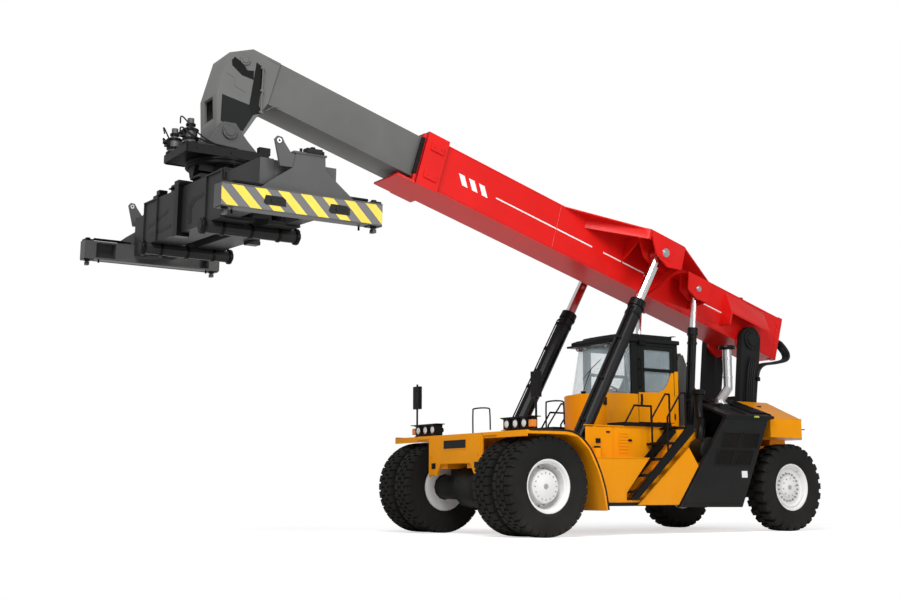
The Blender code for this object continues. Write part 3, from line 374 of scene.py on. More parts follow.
def prism(shape, place, axis, span, outline):
    """An outline in the other two axes, in order, pushed along one axis."""
    def spot(a, b, depth):
        return place(*{"X": (depth, a, b), "Y": (a, depth, b), "Z": (a, b, depth)}[axis])
    rings = [[shape.verts.new(spot(a, b, depth)) for a, b in outline] for depth in span]
    count = len(outline)
    for i in range(count):
        j = (i + 1) % count
        shape.faces.new((rings[0][i], rings[0][j], rings[1][j], rings[1][i]))
    for ring in rings:
        shape.faces.new(ring)


def lathe(shape, origin, toward, profile, sides=24):
    """Rows (along, radius) turned about the line from origin towards a point."""
    axis = (Vector(toward) - Vector(origin)).normalized()
    first = axis.orthogonal().normalized()
    second = axis.cross(first)
    rings = []
    for along, radius in profile:
        centre = Vector(origin) + axis * along
        if radius == 0:
            rings.append([shape.verts.new(centre)])
            continue
        rings.append([shape.verts.new(centre + radius * (cos(tau * i / sides) * first
                                                         + sin(tau * i / sides) * second))
                      for i in range(sides)])
    closed = list(zip(rings, rings[1:]))
    if profile[0][1] and profile[-1][1]:
        closed.append((rings[-1], rings[0]))
    for a, b in closed:
        for i in range(sides):
            j = (i + 1) % sides
            corners = dict.fromkeys((a[i % len(a)], a[j % len(a)], b[j % len(b)], b[i % len(b)]))
            if len(corners) > 2:
                shape.faces.new(list(corners))


def rod(shape, start, end, radius, sides=16):
    length = (Vector(end) - Vector(start)).length
    lathe(shape, start, end, [(0, 0), (0, radius), (length, radius), (length, 0)], sides)


def collar(shape, start, end, rows, sides=24):
    """Rings round a line: each row is along from, along to, radius."""
    for a, b, radius in rows:
        lathe(shape, start, end, [(a, 0), (a, radius - 0.004), (a + 0.004, radius), (b - 0.004, radius),
                                  (b, radius - 0.004), (b, 0)], sides)


def smooth_path(points, steps=8):
    """A curve through the points."""
    points = [Vector(p) for p in points]
    ends = [2 * points[0] - points[1], *points, 2 * points[-1] - points[-2]]
    path = []
    for i in range(1, len(ends) - 2):
        a, b, c, d = ends[i - 1:i + 3]
        for step in range(steps):
            t = step / steps
            path.append(0.5 * (2 * b + (c - a) * t + (2 * a - 5 * b + 4 * c - d) * t ** 2
                               + (3 * b - a - 3 * c + d) * t ** 3))
    return path + [points[-1]]


def pipe(shape, path, radius, sides=10):
    """A round bar that follows a path."""
    path = [Vector(p) for p in path]
    normal = (path[1] - path[0]).orthogonal().normalized()
    rings = []
    for i, centre in enumerate(path):
        run = (path[min(i + 1, len(path) - 1)] - path[max(i - 1, 0)]).normalized()
        normal = (normal - run * normal.dot(run)).normalized()
        other = run.cross(normal)
        rings.append([shape.verts.new(centre + radius * (cos(tau * k / sides) * normal
                                                         + sin(tau * k / sides) * other))
                      for k in range(sides)])
    for a, b in zip(rings, rings[1:]):
        for i in range(sides):
            j = (i + 1) % sides
            shape.faces.new((a[i], a[j], b[j], b[i]))
    shape.faces.new(rings[0])
    shape.faces.new(rings[-1])


def bolt(shape, at, normal, radius=0.012, height=0.012):
    """A six-sided head on a washer."""
    at, normal = Vector(at), Vector(normal).normalized()
    lathe(shape, at - 0.002 * normal, at + normal, [(0, 0), (0, 1.35 * radius), (0.005, 1.35 * radius), (0.005, 0)],
          12)
    lathe(shape, at, at + normal, [(0, 0), (0, radius), (0.85 * height, radius), (height, 0.8 * radius),
                                   (height, 0)], 6)


def bolt_circle(shape, centre, normal, reach, count, radius, height):
    normal = Vector(normal).normalized()
    first = normal.orthogonal().normalized()
    second = normal.cross(first)
    for i in range(count):
        turn = tau * i / count
        bolt(shape, Vector(centre) + reach * (cos(turn) * first + sin(turn) * second), normal, radius, height)


# ---- pieces -------------------------------------------------------------------------------------
def piece(name, mesh_or_bm, body, paint, smooth=None, bevel=0.0):
    """Puts a mesh into the scene as a named piece that moves with a body."""
    if isinstance(mesh_or_bm, bmesh.types.BMesh):
        mesh = bpy.data.meshes.new(name)
        bmesh.ops.recalc_face_normals(mesh_or_bm, faces=mesh_or_bm.faces)
        mesh_or_bm.to_mesh(mesh)
        mesh_or_bm.free()
    else:
        mesh = mesh_or_bm
    made = bpy.data.objects.new(name, mesh)
    bpy.context.scene.collection.objects.link(made)
    for key in [paint] if isinstance(paint, str) else paint:
        mesh.materials.append(PAINT[key])
    if smooth is not None or bevel:
        mesh.shade_smooth()
        mesh.set_sharp_from_angle(angle=radians(smooth or 32))
    if bevel:
        edges = made.modifiers.new("edges", "BEVEL")
        edges.width, edges.segments, edges.limit_method = bevel, 2, "ANGLE"
        edges.angle_limit = radians(32)
        edges.harden_normals = True
    if body:
        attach(made, body)
    return made


def softened(node, width=0.008, rules=()):
    """A CAD part with rounded edges; rules give faces another paint: (test of centre and normal, paint)."""
    shape = bmesh.new()
    shape.from_mesh(NODES[node].data)
    bmesh.ops.remove_doubles(shape, verts=shape.verts, dist=0.00002)
    bmesh.ops.dissolve_limit(shape, angle_limit=radians(0.6), verts=shape.verts, edges=shape.edges)
    paints = [SLOT_PAINT[SLOTS[node]], *[paint for _, paint in rules]]
    for face in shape.faces:
        face.material_index = 0
        for number, (test, _) in enumerate(rules, 1):
            if test(face.calc_center_median(), face.normal):
                face.material_index = number
    mesh = bpy.data.meshes.new(node + "_shell")
    shape.to_mesh(mesh)
    shape.free()
    made = bpy.data.objects.new(node + "_shell", mesh)
    bpy.context.scene.collection.objects.link(made)
    for key in paints:
        mesh.materials.append(PAINT[key])
    mesh.shade_smooth()
    mesh.set_sharp_from_angle(angle=radians(32))
    bevel = made.modifiers.new("edges", "BEVEL")
    bevel.width, bevel.segments, bevel.limit_method = width, 2, "ANGLE"
    bevel.angle_limit = radians(32)
    bevel.harden_normals = True
    bevel.miter_outer = "MITER_ARC"
    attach(made, BODY[node])
    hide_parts(node)
    return made


# bevel width of each part whose edges are rounded
EDGES = {"chassis_frame": 0.008, "front_axle": 0.01, "steer_axle": 0.008, "engine_block": 0.02,
         "front_deck": 0.008, "front_fender_left": 0.008, "front_fender_right": 0.008,
         "body_side_left": 0.012, "body_side_right": 0.012, "side_panel_left": 0.012,
         "side_panel_right": 0.012, "engine_hood": 0.02, "rear_cover": 0.012, "counterweight": 0.03,
         "boom_support": 0.01, "cab_base": 0.025, "cab_frame": 0.01, "cab_roof": 0.02, "cab_door": 0.006,
         "outer_boom": 0.010, "inner_boom": 0.008, "spreader_yoke": 0.008, "slew_frame": 0.006,
         "spreader_hanger": 0.006, "spreader_frame": 0.006, "end_beam_left": 0.006, "end_beam_right": 0.006}


def face_rules(node):
    """Paints that differ from the part's own on some of its faces."""
    low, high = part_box(node)
    if node.startswith("end_beam"):
        side = 1 if node.endswith("left") else -1
        edge = (high.x if side > 0 else -low.x) - 0.03
        return [(lambda centre, normal: normal.x * side > 0.9 and centre.x * side > edge, "warning"),
                (lambda centre, normal: centre.x * side < 2.75, "beam")]
    if node == "spreader_frame":
        return [(lambda centre, normal: True, "beam")]
    if node == "spreader_yoke":
        return [(lambda centre, normal: centre.z < 6.06 or centre.y < HEAD_PIN.y - 0.56, "black"),
                (lambda centre, normal: centre.z >= 6.06, "dark_grey")]
    if node == "outer_boom":
        # faces inside the boom's box take the darker red: painted shade of the hollow
        def hidden(centre, normal):
            spot = centre - BOOM_PIVOT
            return abs(centre.x) < 0.36 and 0 < spot.dot(ABOVE) < 0.79
        return [(hidden, "red_painted_shade")]
    return ()


def frame_parts():
    for node, width in EDGES.items():
        softened(node, width, face_rules(node))
    for node, made in NODES.items():
        if node not in EDGES:
            made.data.materials.clear()
            made.data.materials.append(PAINT[SLOT_PAINT[SLOTS[node]]])


# ---- wheels -------------------------------------------------------------------------------------
TYRE_STEPS = 96


def ring_point(centre, x, radius, turn):
    return (centre.x + x, centre.y + radius * cos(turn), centre.z + radius * sin(turn))


def tread_block(shape, centre, side, rows, turn, width, skew=0.0):
    """A lug that follows the tyre's curve; rows across it: (x, base radius, top radius)."""
    steps = 3
    rings = []
    for x, base, top in rows:
        ring = []
        shift = skew * abs(x)
        for i in range(steps + 1):
            angle = turn + shift + width * (i / steps - 0.5)
            ring.append(shape.verts.new(ring_point(centre, side * x, top, angle)))
        for i in range(steps, -1, -1):
            angle = turn + shift + 1.12 * width * (i / steps - 0.5)
            ring.append(shape.verts.new(ring_point(centre, side * x, base, angle)))
        rings.append(ring)
    count = len(rings[0])
    for a, b in zip(rings, rings[1:]):
        for i in range(count):
            j = (i + 1) % count
            shape.faces.new((a[i], a[j], b[j], b[i]))
    shape.faces.new(rings[0])
    shape.faces.new(rings[-1])


def tyre(node, deep):
    """A carcass with block tread; a deep tread has long shoulder lugs."""
    low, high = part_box(node)
    centre, half, top = (low + high) / 2, (high.x - low.x) / 2, (high.z - low.z) / 2
    base = top - (0.045 if deep else 0.026)
    bead = 0.425
    # rows: share of the half width, radius
    side_rows = [(0.80, bead), (0.90, bead + 0.012), (0.955, bead + 0.04), (0.985, bead + 0.10), (1.0, bead + 0.17),
                 (0.995, bead + 0.22), (0.985, top - 0.13), (0.95, top - 0.09), (0.88, base - 0.015),
                 (0.78, base - 0.002), (0.40, base + 0.002)]
    rows = [(-half * a, r) for a, r in side_rows] + [(half * a, r) for a, r in reversed(side_rows)]
    shape = bmesh.new()
    rings = [[shape.verts.new(ring_point(centre, x, r, tau * i / TYRE_STEPS)) for i in range(TYRE_STEPS)]
             for x, r in rows]
    for a, b in zip(rings, rings[1:] + rings[:1]):
        for i in range(TYRE_STEPS):
            j = (i + 1) % TYRE_STEPS
            shape.faces.new((a[i], a[j], b[j], b[i]))
    count = 26 if deep else 34
    pitch = tau / count
    for i in range(count):
        for side in (1, -1):
            turn = i * pitch + (0.5 * pitch if side < 0 else 0)
            if deep:
                lug = [(0.015, base - 0.01, top), (0.62 * half, base - 0.01, top),
                       (0.86 * half, base - 0.03, top - 0.006), (0.97 * half, top - 0.12, top - 0.06),
                       (0.99 * half, top - 0.15, top - 0.125)]
                tread_block(shape, centre, side, lug, turn, 0.58 * pitch, 0.15)
                continue
            inner = [(0.03 * half, base - 0.01, top), (0.36 * half, base - 0.01, top)]
            outer = [(0.44 * half, base - 0.01, top), (0.76 * half, base - 0.01, top - 0.002),
                     (0.90 * half, base - 0.03, top - 0.012), (0.965 * half, top - 0.10, top - 0.055)]
            tread_block(shape, centre, side, inner, turn, 0.74 * pitch, 0.10)
            tread_block(shape, centre, side, outer, turn + 0.5 * pitch, 0.78 * pitch, -0.05)
    made = piece(node + "_tread", shape, BODY[node], "rubber", smooth=28)
    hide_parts(node)
    # raised rings on the sidewall
    trim = bmesh.new()
    for side in (1, -1):
        for radius, width in ((bead + 0.075, 0.010), (top - 0.16, 0.007)):
            start = centre + Vector((side * (half - 0.016), 0, 0))
            lathe(trim, start, start + Vector((side, 0, 0)),
                  [(0, radius - width), (0.0135, radius - 0.4 * width), (0.0135, radius + 0.4 * width),
                   (0, radius + width)], TYRE_STEPS)
    piece(node + "_sidewall_rings", trim, BODY[node], "rubber", smooth=40)


def wheel(node, side, front):
    """A dished rim with its lock ring, studs and hub; rows are distance from the middle, radius."""
    low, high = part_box(node)
    centre = (low + high) / 2
    near = low.x if side > 0 else -high.x
    seat = (high.z - low.z) / 2
    disc = 1.67 if front else 1.57
    lip = 1.99 if front else 1.66
    if front:
        hub = [(disc, 0.30), (disc + 0.02, 0.285), (disc + 0.20, 0.272), (disc + 0.235, 0.262),
               (disc + 0.25, 0.235), (disc + 0.255, 0.17), (disc + 0.26, 0.16), (disc + 0.26, 0)]
    else:
        hub = [(disc, 0.205), (disc + 0.03, 0.195), (disc + 0.04, 0.15), (disc + 0.045, 0.14),
               (disc + 0.05, 0.13), (disc + 0.05, 0)]
    rows = [(near, 0), (near, seat), (lip - 0.045, seat), (lip - 0.02, seat + 0.01), (lip, seat + 0.022),
            (lip + 0.012, seat + 0.015), (lip + 0.012, seat - 0.004), (lip - 0.004, seat - 0.022),
            (lip - 0.02, seat - 0.032), (lip - 0.045, seat - 0.036), (lip - 0.05, seat - 0.052),
            (disc + 0.06, seat - 0.062), (disc + 0.02, seat - 0.072), (disc, seat - 0.095), *hub]
    shape = bmesh.new()
    origin = Vector((0, centre.y, centre.z))
    lathe(shape, origin, origin + Vector((side, 0, 0)), rows, 72)
    made = piece(node + "_face", shape, BODY[node], "white", smooth=30)
    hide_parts(node)
    studs = bmesh.new()
    face = origin + Vector((side * disc, 0, 0))
    bolt_circle(studs, face, (side, 0, 0), 0.318 if front else 0.255, 20, 0.017, 0.034)
    if front:
        bolt_circle(studs, origin + Vector((side * (disc + 0.246), 0, 0)), (side, 0, 0), 0.215, 16, 0.014, 0.016)
    else:
        bolt_circle(studs, origin + Vector((side * (disc + 0.042), 0, 0)), (side, 0, 0), 0.165, 10, 0.010, 0.012)
    plug = origin + Vector((side * (disc + (0.26 if front else 0.05)), 0, 0))
    lathe(studs, plug, plug + Vector((side, 0, 0)), [(0, 0), (0, 0.05), (0.008, 0.045), (0.008, 0)], 6)
    piece(node + "_studs", studs, BODY[node], "steel", smooth=30)
    valve = bmesh.new()
    start = origin + Vector((side * (lip - 0.10), 0.2, 0.29))
    rod(valve, start, start + Vector((side * 0.09, -0.01, 0.0)), 0.006, 8)
    piece(node + "_valve", valve, BODY[node], "steel", smooth=30)


def wheels():
    for word, side in SIDES:
        for place in ("outer", "inner"):
            tyre(f"front_tyre_{word}_{place}", False)
        tyre(f"rear_tyre_{word}", True)
        wheel(f"front_rim_{word}", side, True)
        wheel(f"rear_rim_{word}", side, False)


# ---- boom ---------------------------------------------------------------------------------------
def boom_details():
    """White line, seams, collar pads, pin caps and the bars near the nose."""
    half, top, low, nose = 0.38, 0.80, -0.08, 8.15
    line = bmesh.new()
    # white line: from, to along the boom
    for start, end in ((0.72, 1.42), (2.36, 2.62), (2.86, 3.90), (4.18, 6.45)):
        for _, side in SIDES:
            brick(line, boom, (side * half, side * (half + 0.0015)), (start, end), (0.305, 0.330))
    for i in range(3):
        start = 6.62 + 0.22 * i
        for _, side in SIDES:
            prism(line, boom, "X", (side * half, side * (half + 0.0015)),
                  [(start, 0.24), (start + 0.12, 0.24), (start + 0.24, 0.42), (start + 0.12, 0.42)])
    piece("boom_white_line", line, "main_boom", "line")
    seams = bmesh.new()
    for s in (5.05, 1.55):
        for _, side in SIDES:
            pipe(seams, [boom(side * half, s, low + 0.01), boom(side * half, s, top - 0.01)], 0.006, 6)
    for _, side in SIDES:
        for t in (low + 0.028, top - 0.028):
            pipe(seams, [boom(side * half, -0.86, t), boom(side * half, nose - 0.52, t)], 0.005, 6)
    piece("boom_weld_seams", seams, "main_boom", "red", smooth=40)
    pads = bmesh.new()
    for _, side in SIDES:
        for t in (0.10, 0.62):
            brick(pads, boom, (side * (half + 0.048), side * (half + 0.075)), (nose - 0.42, nose - 0.16),
                  (t - 0.07, t + 0.07))
            for ds in (-0.36, -0.22):
                bolt(pads, boom(side * (half + 0.075), nose + ds, t), (side, 0, 0), 0.014, 0.014)
    for x in (-0.22, 0.22):
        brick(pads, boom, (x - 0.09, x + 0.09), (nose - 0.42, nose - 0.16), (top + 0.048, top + 0.075))
    piece("boom_collar_pads", pads, "main_boom", "red", bevel=0.004)
    lip = bmesh.new()
    for x in (-0.24, 0.0, 0.24):
        brick(lip, boom, (x - 0.05, x + 0.05), (nose + 0.14, nose + 0.26), (low - 0.035, low - 0.018))
    for _, side in SIDES:
        brick(lip, boom, (side * 0.335, side * 0.395), (nose - 0.04, nose + 0.02), (0.04, 0.72))
    piece("boom_wear_strips", lip, "main_boom", "black", bevel=0.004)
    caps = bmesh.new()
    for _, side in SIDES:
        start = boom(side * 0.36, 0, 0)
        for s, t, r in ((0.12, 0.905, 0.045),):
            rod(caps, boom(side * 0.18, s, top - 0.004), boom(side * 0.18, s, t), r, 16)
        brick(caps, boom, (side * 0.08, side * 0.30), (-0.62, -0.30), (top - 0.004, top + 0.03))
    piece("boom_top_fittings", caps, "main_boom", "black", bevel=0.004)
    tail = bmesh.new()
    for _, side in SIDES:
        brick(tail, boom, (side * (half - 0.12), side * (half + 0.012)), (-0.915, -0.80), (low - 0.012, top + 0.012))
    for t in (0.0, 0.38, 0.74):
        brick(tail, boom, (-0.26, 0.26), (-0.915, -0.895), (t - 0.025, t + 0.025))
    piece("boom_tail_frame", tail, "main_boom", "red", bevel=0.006)
    wing_details()


def wing_details():
    """Ribs and pin caps of the cylinder brackets."""
    for word, side in SIDES:
        low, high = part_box(f"lift_rod_{word}")
        eye = JOINTS[f"lift_cylinder_{word}_swing"]["pos_m"]
        ribs = bmesh.new()
        edge = side * 1.19
        for s in (2.74, 3.44):
            prism(ribs, boom, "Y", (s - 0.012, s + 0.012),
                  [(side * 0.378, 0.30), (side * 0.378, 0.76), (side * 0.80, 0.76), (side * 0.80, 0.70)])
        brick(ribs, boom, (side * 1.190, side * 1.202), (2.95, 3.27), (0.38, 0.62))
        piece(f"lift_bracket_ribs_{word}", ribs, "main_boom", "red", bevel=0.003)
        pins = bmesh.new()
        cap = boom(edge, 3.11, 0.50)
        collar(pins, cap, cap + Vector((side, 0, 0)), ((0.0, 0.022, 0.085), (0.02, 0.034, 0.055)))
        bolt_circle(pins, cap + Vector((side * 0.022, 0, 0)), (side, 0, 0), 0.07, 4, 0.008, 0.010)
        cap = boom(side * 0.893, 1.90, 0.30)
        collar(pins, cap, cap + Vector((side, 0, 0)), ((0.0, 0.018, 0.06), (0.016, 0.028, 0.038)))
        piece(f"bracket_pin_caps_{word}", pins, "main_boom", "steel", smooth=30)


# x of each hose at the tower and at the boom's tail
HOSE_RUNS = ((0.43, 0.16), (0.495, 0.25), (0.56, 0.34))


def boom_hoses():
    """Hoses that leave the tower's rear edge and loop up to the boom's tail."""
    for number, (low_x, high_x) in enumerate(HOSE_RUNS, 1):
        points = [ground(low_x, 3.372, 2.95), ground(low_x, 3.45, 3.14), ground(low_x, 3.62, 3.25),
                  ground(low_x, 3.95, 3.30), ground(low_x, 4.26, 3.38), ground((low_x + high_x) / 2, 4.42, 3.54),
                  ground(high_x, 4.36, 3.74), boom(high_x, -0.90, 0.34)]
        path = smooth_path(points, 8)
        shape = bmesh.new()
        pipe(shape, path, 0.030, 12)
        made = piece(f"boom_hose_{number}", shape, None, "hose", smooth=60)
        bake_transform(made)
    clamps = bmesh.new()
    brick(clamps, ground, (0.39, 0.60), (3.34, 3.42), (2.90, 2.98))
    piece("tower_hose_clamps", clamps, "chassis", "black", bevel=0.004)
    plate = bmesh.new()
    for _, x in HOSE_RUNS:
        collar(plate, boom(x, -0.925, 0.34), boom(x, -0.80, 0.34), ((0.0, 0.05, 0.042),), 12)
    piece("tail_hose_fittings", plate, "main_boom", "steel", smooth=30)


def head_details():
    """Recesses as black sheets and the lower part as a charcoal sheet, both painted shade; guide channel and pin caps
    of the boom's head.
    """
    side_x = 0.33
    for word, side in SIDES:
        place = mirrored(boom, side)
        # charcoal sheet on the lower part of the head's side: painted shade of its downward-facing lower facet
        dark = bmesh.new()
        prism(dark, place, "X", (side_x, side_x + 0.004),
              [(11.71, -0.20), (11.20, -0.16), (11.13, -0.30), (11.21, -0.62), (11.60, -0.62)])
        piece(f"head_lower_painted_shade_{word}", dark, "extending_boom", "charcoal", bevel=0.001)
        # black sheets for the top recess and the slot below it: painted shade of hollows
        recess = bmesh.new()
        prism(recess, place, "X", (side_x, side_x + 0.005),
              [(11.735, 0.40), (11.70, 0.47), (11.56, 0.44), (11.44, 0.36), (11.34, 0.40), (11.30, 0.26),
               (11.50, 0.24), (11.70, 0.32)])
        prism(recess, place, "X", (side_x, side_x + 0.005),
              [(11.34, 0.56), (11.20, 0.52), (11.09, -0.10), (11.00, -0.20), (11.16, -0.31), (11.24, -0.16)])
        piece(f"head_recess_painted_shade_{word}", recess, "extending_boom", "black", bevel=0.001)
        cap = bmesh.new()
        centre = boom(side * side_x, 11.53, 0.50)
        collar(cap, centre, centre + Vector((side, 0, 0)), ((0, 0.02, 0.085), (0.018, 0.030, 0.05)))
        bolt_circle(cap, centre + Vector((side * 0.02, 0, 0)), (side, 0, 0), 0.067, 6, 0.007, 0.008)
        piece(f"head_roller_cap_{word}", cap, "extending_boom", "grey", smooth=30)
        guide = bmesh.new()
        rod(guide, boom(side * (side_x + 0.03), 11.22, 0.52), boom(side * (side_x + 0.03), 11.02, -0.22), 0.012, 10)
        for s, t in ((11.22, 0.50), (11.12, 0.14), (11.03, -0.20)):
            brick(guide, place, (side_x, side_x + 0.045), (s - 0.03, s + 0.03), (t - 0.018, t + 0.018))
        piece(f"head_cable_guide_{word}", guide, "extending_boom", "grey", bevel=0.002)
        lines = bmesh.new()
        pipe(lines, [place(side_x, 11.74, 0.16), place(side_x, 11.60, 0.14), place(side_x, 11.56, 0.02),
                     place(side_x, 11.36, 0.0)], 0.005, 6)
        pipe(lines, [place(side_x, 10.95, 0.70), place(side_x, 11.19, 0.70)], 0.005, 6)
        pipe(lines, smooth_path([place(side_x - 0.01, 10.94, -0.12), place(side_x - 0.015, 10.84, 0.0),
                                 place(side_x - 0.018, 10.74, 0.03)], 5), 0.006, 6)
        piece(f"head_seams_{word}", lines, "extending_boom", "grey", smooth=40)
    pinned = bmesh.new()
    for _, side in SIDES:
        centre = HEAD_PIN + Vector((side * 0.42, 0, 0))
        collar(pinned, centre, centre + Vector((side, 0, 0)), ((0, 0.03, 0.12), (0.028, 0.042, 0.075)))
        bolt_circle(pinned, centre + Vector((side * 0.03, 0, 0)), (side, 0, 0), 0.098, 6, 0.008, 0.009)
    piece("head_pin_caps", pinned, "yoke", "dark_grey", smooth=30)


# ---- spreader -----------------------------------------------------------------------------------
def valve_block(shape, place, x, y, z, ports):
    """A manifold with a row of stub ports on its -y face."""
    brick(shape, place, x, y, z)
    for i in range(ports):
        spot = x[0] + (x[1] - x[0]) * (i + 0.5) / ports
        rod(shape, place(spot, y[0], (z[0] + z[1]) / 2), place(spot, y[0] - 0.05, (z[0] + z[1]) / 2), 0.014, 8)


def yoke_details():
    low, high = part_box("spreader_yoke")
    motor = bmesh.new()
    for _, side in SIDES:
        spot = (side * 0.33, HEAD_PIN.y - 0.60)
        base = 5.95
        collar(motor, Vector((*spot, base)), Vector((*spot, base + 1)),
               ((0.0, 0.03, 0.135), (0.08, 0.11, 0.125), (0.22, 0.25, 0.125), (0.30, 0.34, 0.075)), 20)
        bolt_circle(motor, Vector((*spot, base + 0.03)), (0, 0, 1), 0.118, 8, 0.009, 0.012)
        brick(motor, Vector_place, (spot[0] - 0.055, spot[0] + 0.055), (spot[1] - 0.15, spot[1] - 0.04),
              (base + 0.12, base + 0.22))
        rod(motor, (spot[0], spot[1] - 0.15, base + 0.17), (spot[0], spot[1] - 0.19, base + 0.17), 0.018, 10)
    piece("slewing_motors", motor, "yoke", "black", smooth=30)
    hoses = bmesh.new()
    for _, side in SIDES:
        x, y = side * 0.33, HEAD_PIN.y - 0.60
        for lift, reach in ((0.17, 0.19), (0.34, 0.12)):
            pipe(hoses, smooth_path([(x, y - 0.17, 5.95 + lift - 0.02), (x + side * 0.05, y - 0.16, 5.95 + lift + 0.08),
                                     (x + side * 0.14, y + 0.04, 5.97 + 0.5 * lift), (x + side * 0.12, y + 0.35, 6.0),
                                     (x + side * 0.08, y + 0.75, 5.985)], 6), 0.012, 8)
    for i in range(5):
        x = -0.16 + 0.08 * i
        pipe(hoses, smooth_path([(x, HEAD_PIN.y + 0.50, 5.97), (x, HEAD_PIN.y + 0.62, 6.05), (x, HEAD_PIN.y + 0.66, 5.90),
                                 (x * 0.8, HEAD_PIN.y + 0.62, 5.80)], 6), 0.013, 8)
    piece("yoke_hoses", hoses, "yoke", "hose", smooth=60)
    plate = bmesh.new()
    for _, side in SIDES:
        brick(plate, Vector_place, (side * 0.455, side * 0.475), (low.y + 0.03, high.y - 0.03), (5.815, 5.965))
        for y in (0.2, 0.8, 1.3):
            bolt(plate, (side * 0.475, low.y + y * (high.y - low.y) / 1.5, 5.89), (side, 0, 0), 0.013, 0.012)
    brick(plate, Vector_place, (-0.30, -0.10), (high.y - 0.10, high.y + 0.02), (5.95, 6.06))
    brick(plate, Vector_place, (0.34, 0.44), (high.y - 0.16, high.y + 0.03), (5.95, 6.07))
    piece("yoke_side_plates", plate, "yoke", "black", bevel=0.004)


def Vector_place(x, y, z):
    return Vector((x, y, z))


def slew_details():
    low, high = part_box("slew_frame")
    centre = Vector(((low.x + high.x) / 2, (low.y + high.y) / 2, low.z))
    ring_z = high.z
    shape = bmesh.new()
    radius = (high.x - low.x) / 2
    collar(shape, Vector((centre.x, centre.y, ring_z - 0.105)), Vector((centre.x, centre.y, ring_z)),
           ((0.0, 0.03, radius + 0.018), (0.055, 0.085, radius + 0.018)), 64)
    bolt_circle(shape, Vector((centre.x, centre.y, ring_z - 0.105)), (0, 0, -1), radius - 0.03, 28, 0.012, 0.016)
    piece("slew_ring_bands", shape, "slewing", "black", smooth=30)
    loops = bmesh.new()
    for i in range(8):
        x = 0.08 + 0.05 * (i % 4)
        for side in ((1,) if i < 4 else (-1,)):
            pipe(loops, smooth_path([(side * x, centre.y + 0.30, ring_z - 0.11), (side * (x + 0.02), centre.y + 0.42, ring_z - 0.20),
                                     (side * (x + 0.10), centre.y + 0.30, ring_z - 0.27),
                                     (side * (x + 0.22), centre.y + 0.14, ring_z - 0.20),
                                     (side * (x + 0.26), centre.y + 0.02, ring_z - 0.115)], 5), 0.012, 8)
    piece("slew_hoses", loops, "slewing", "hose", smooth=60)


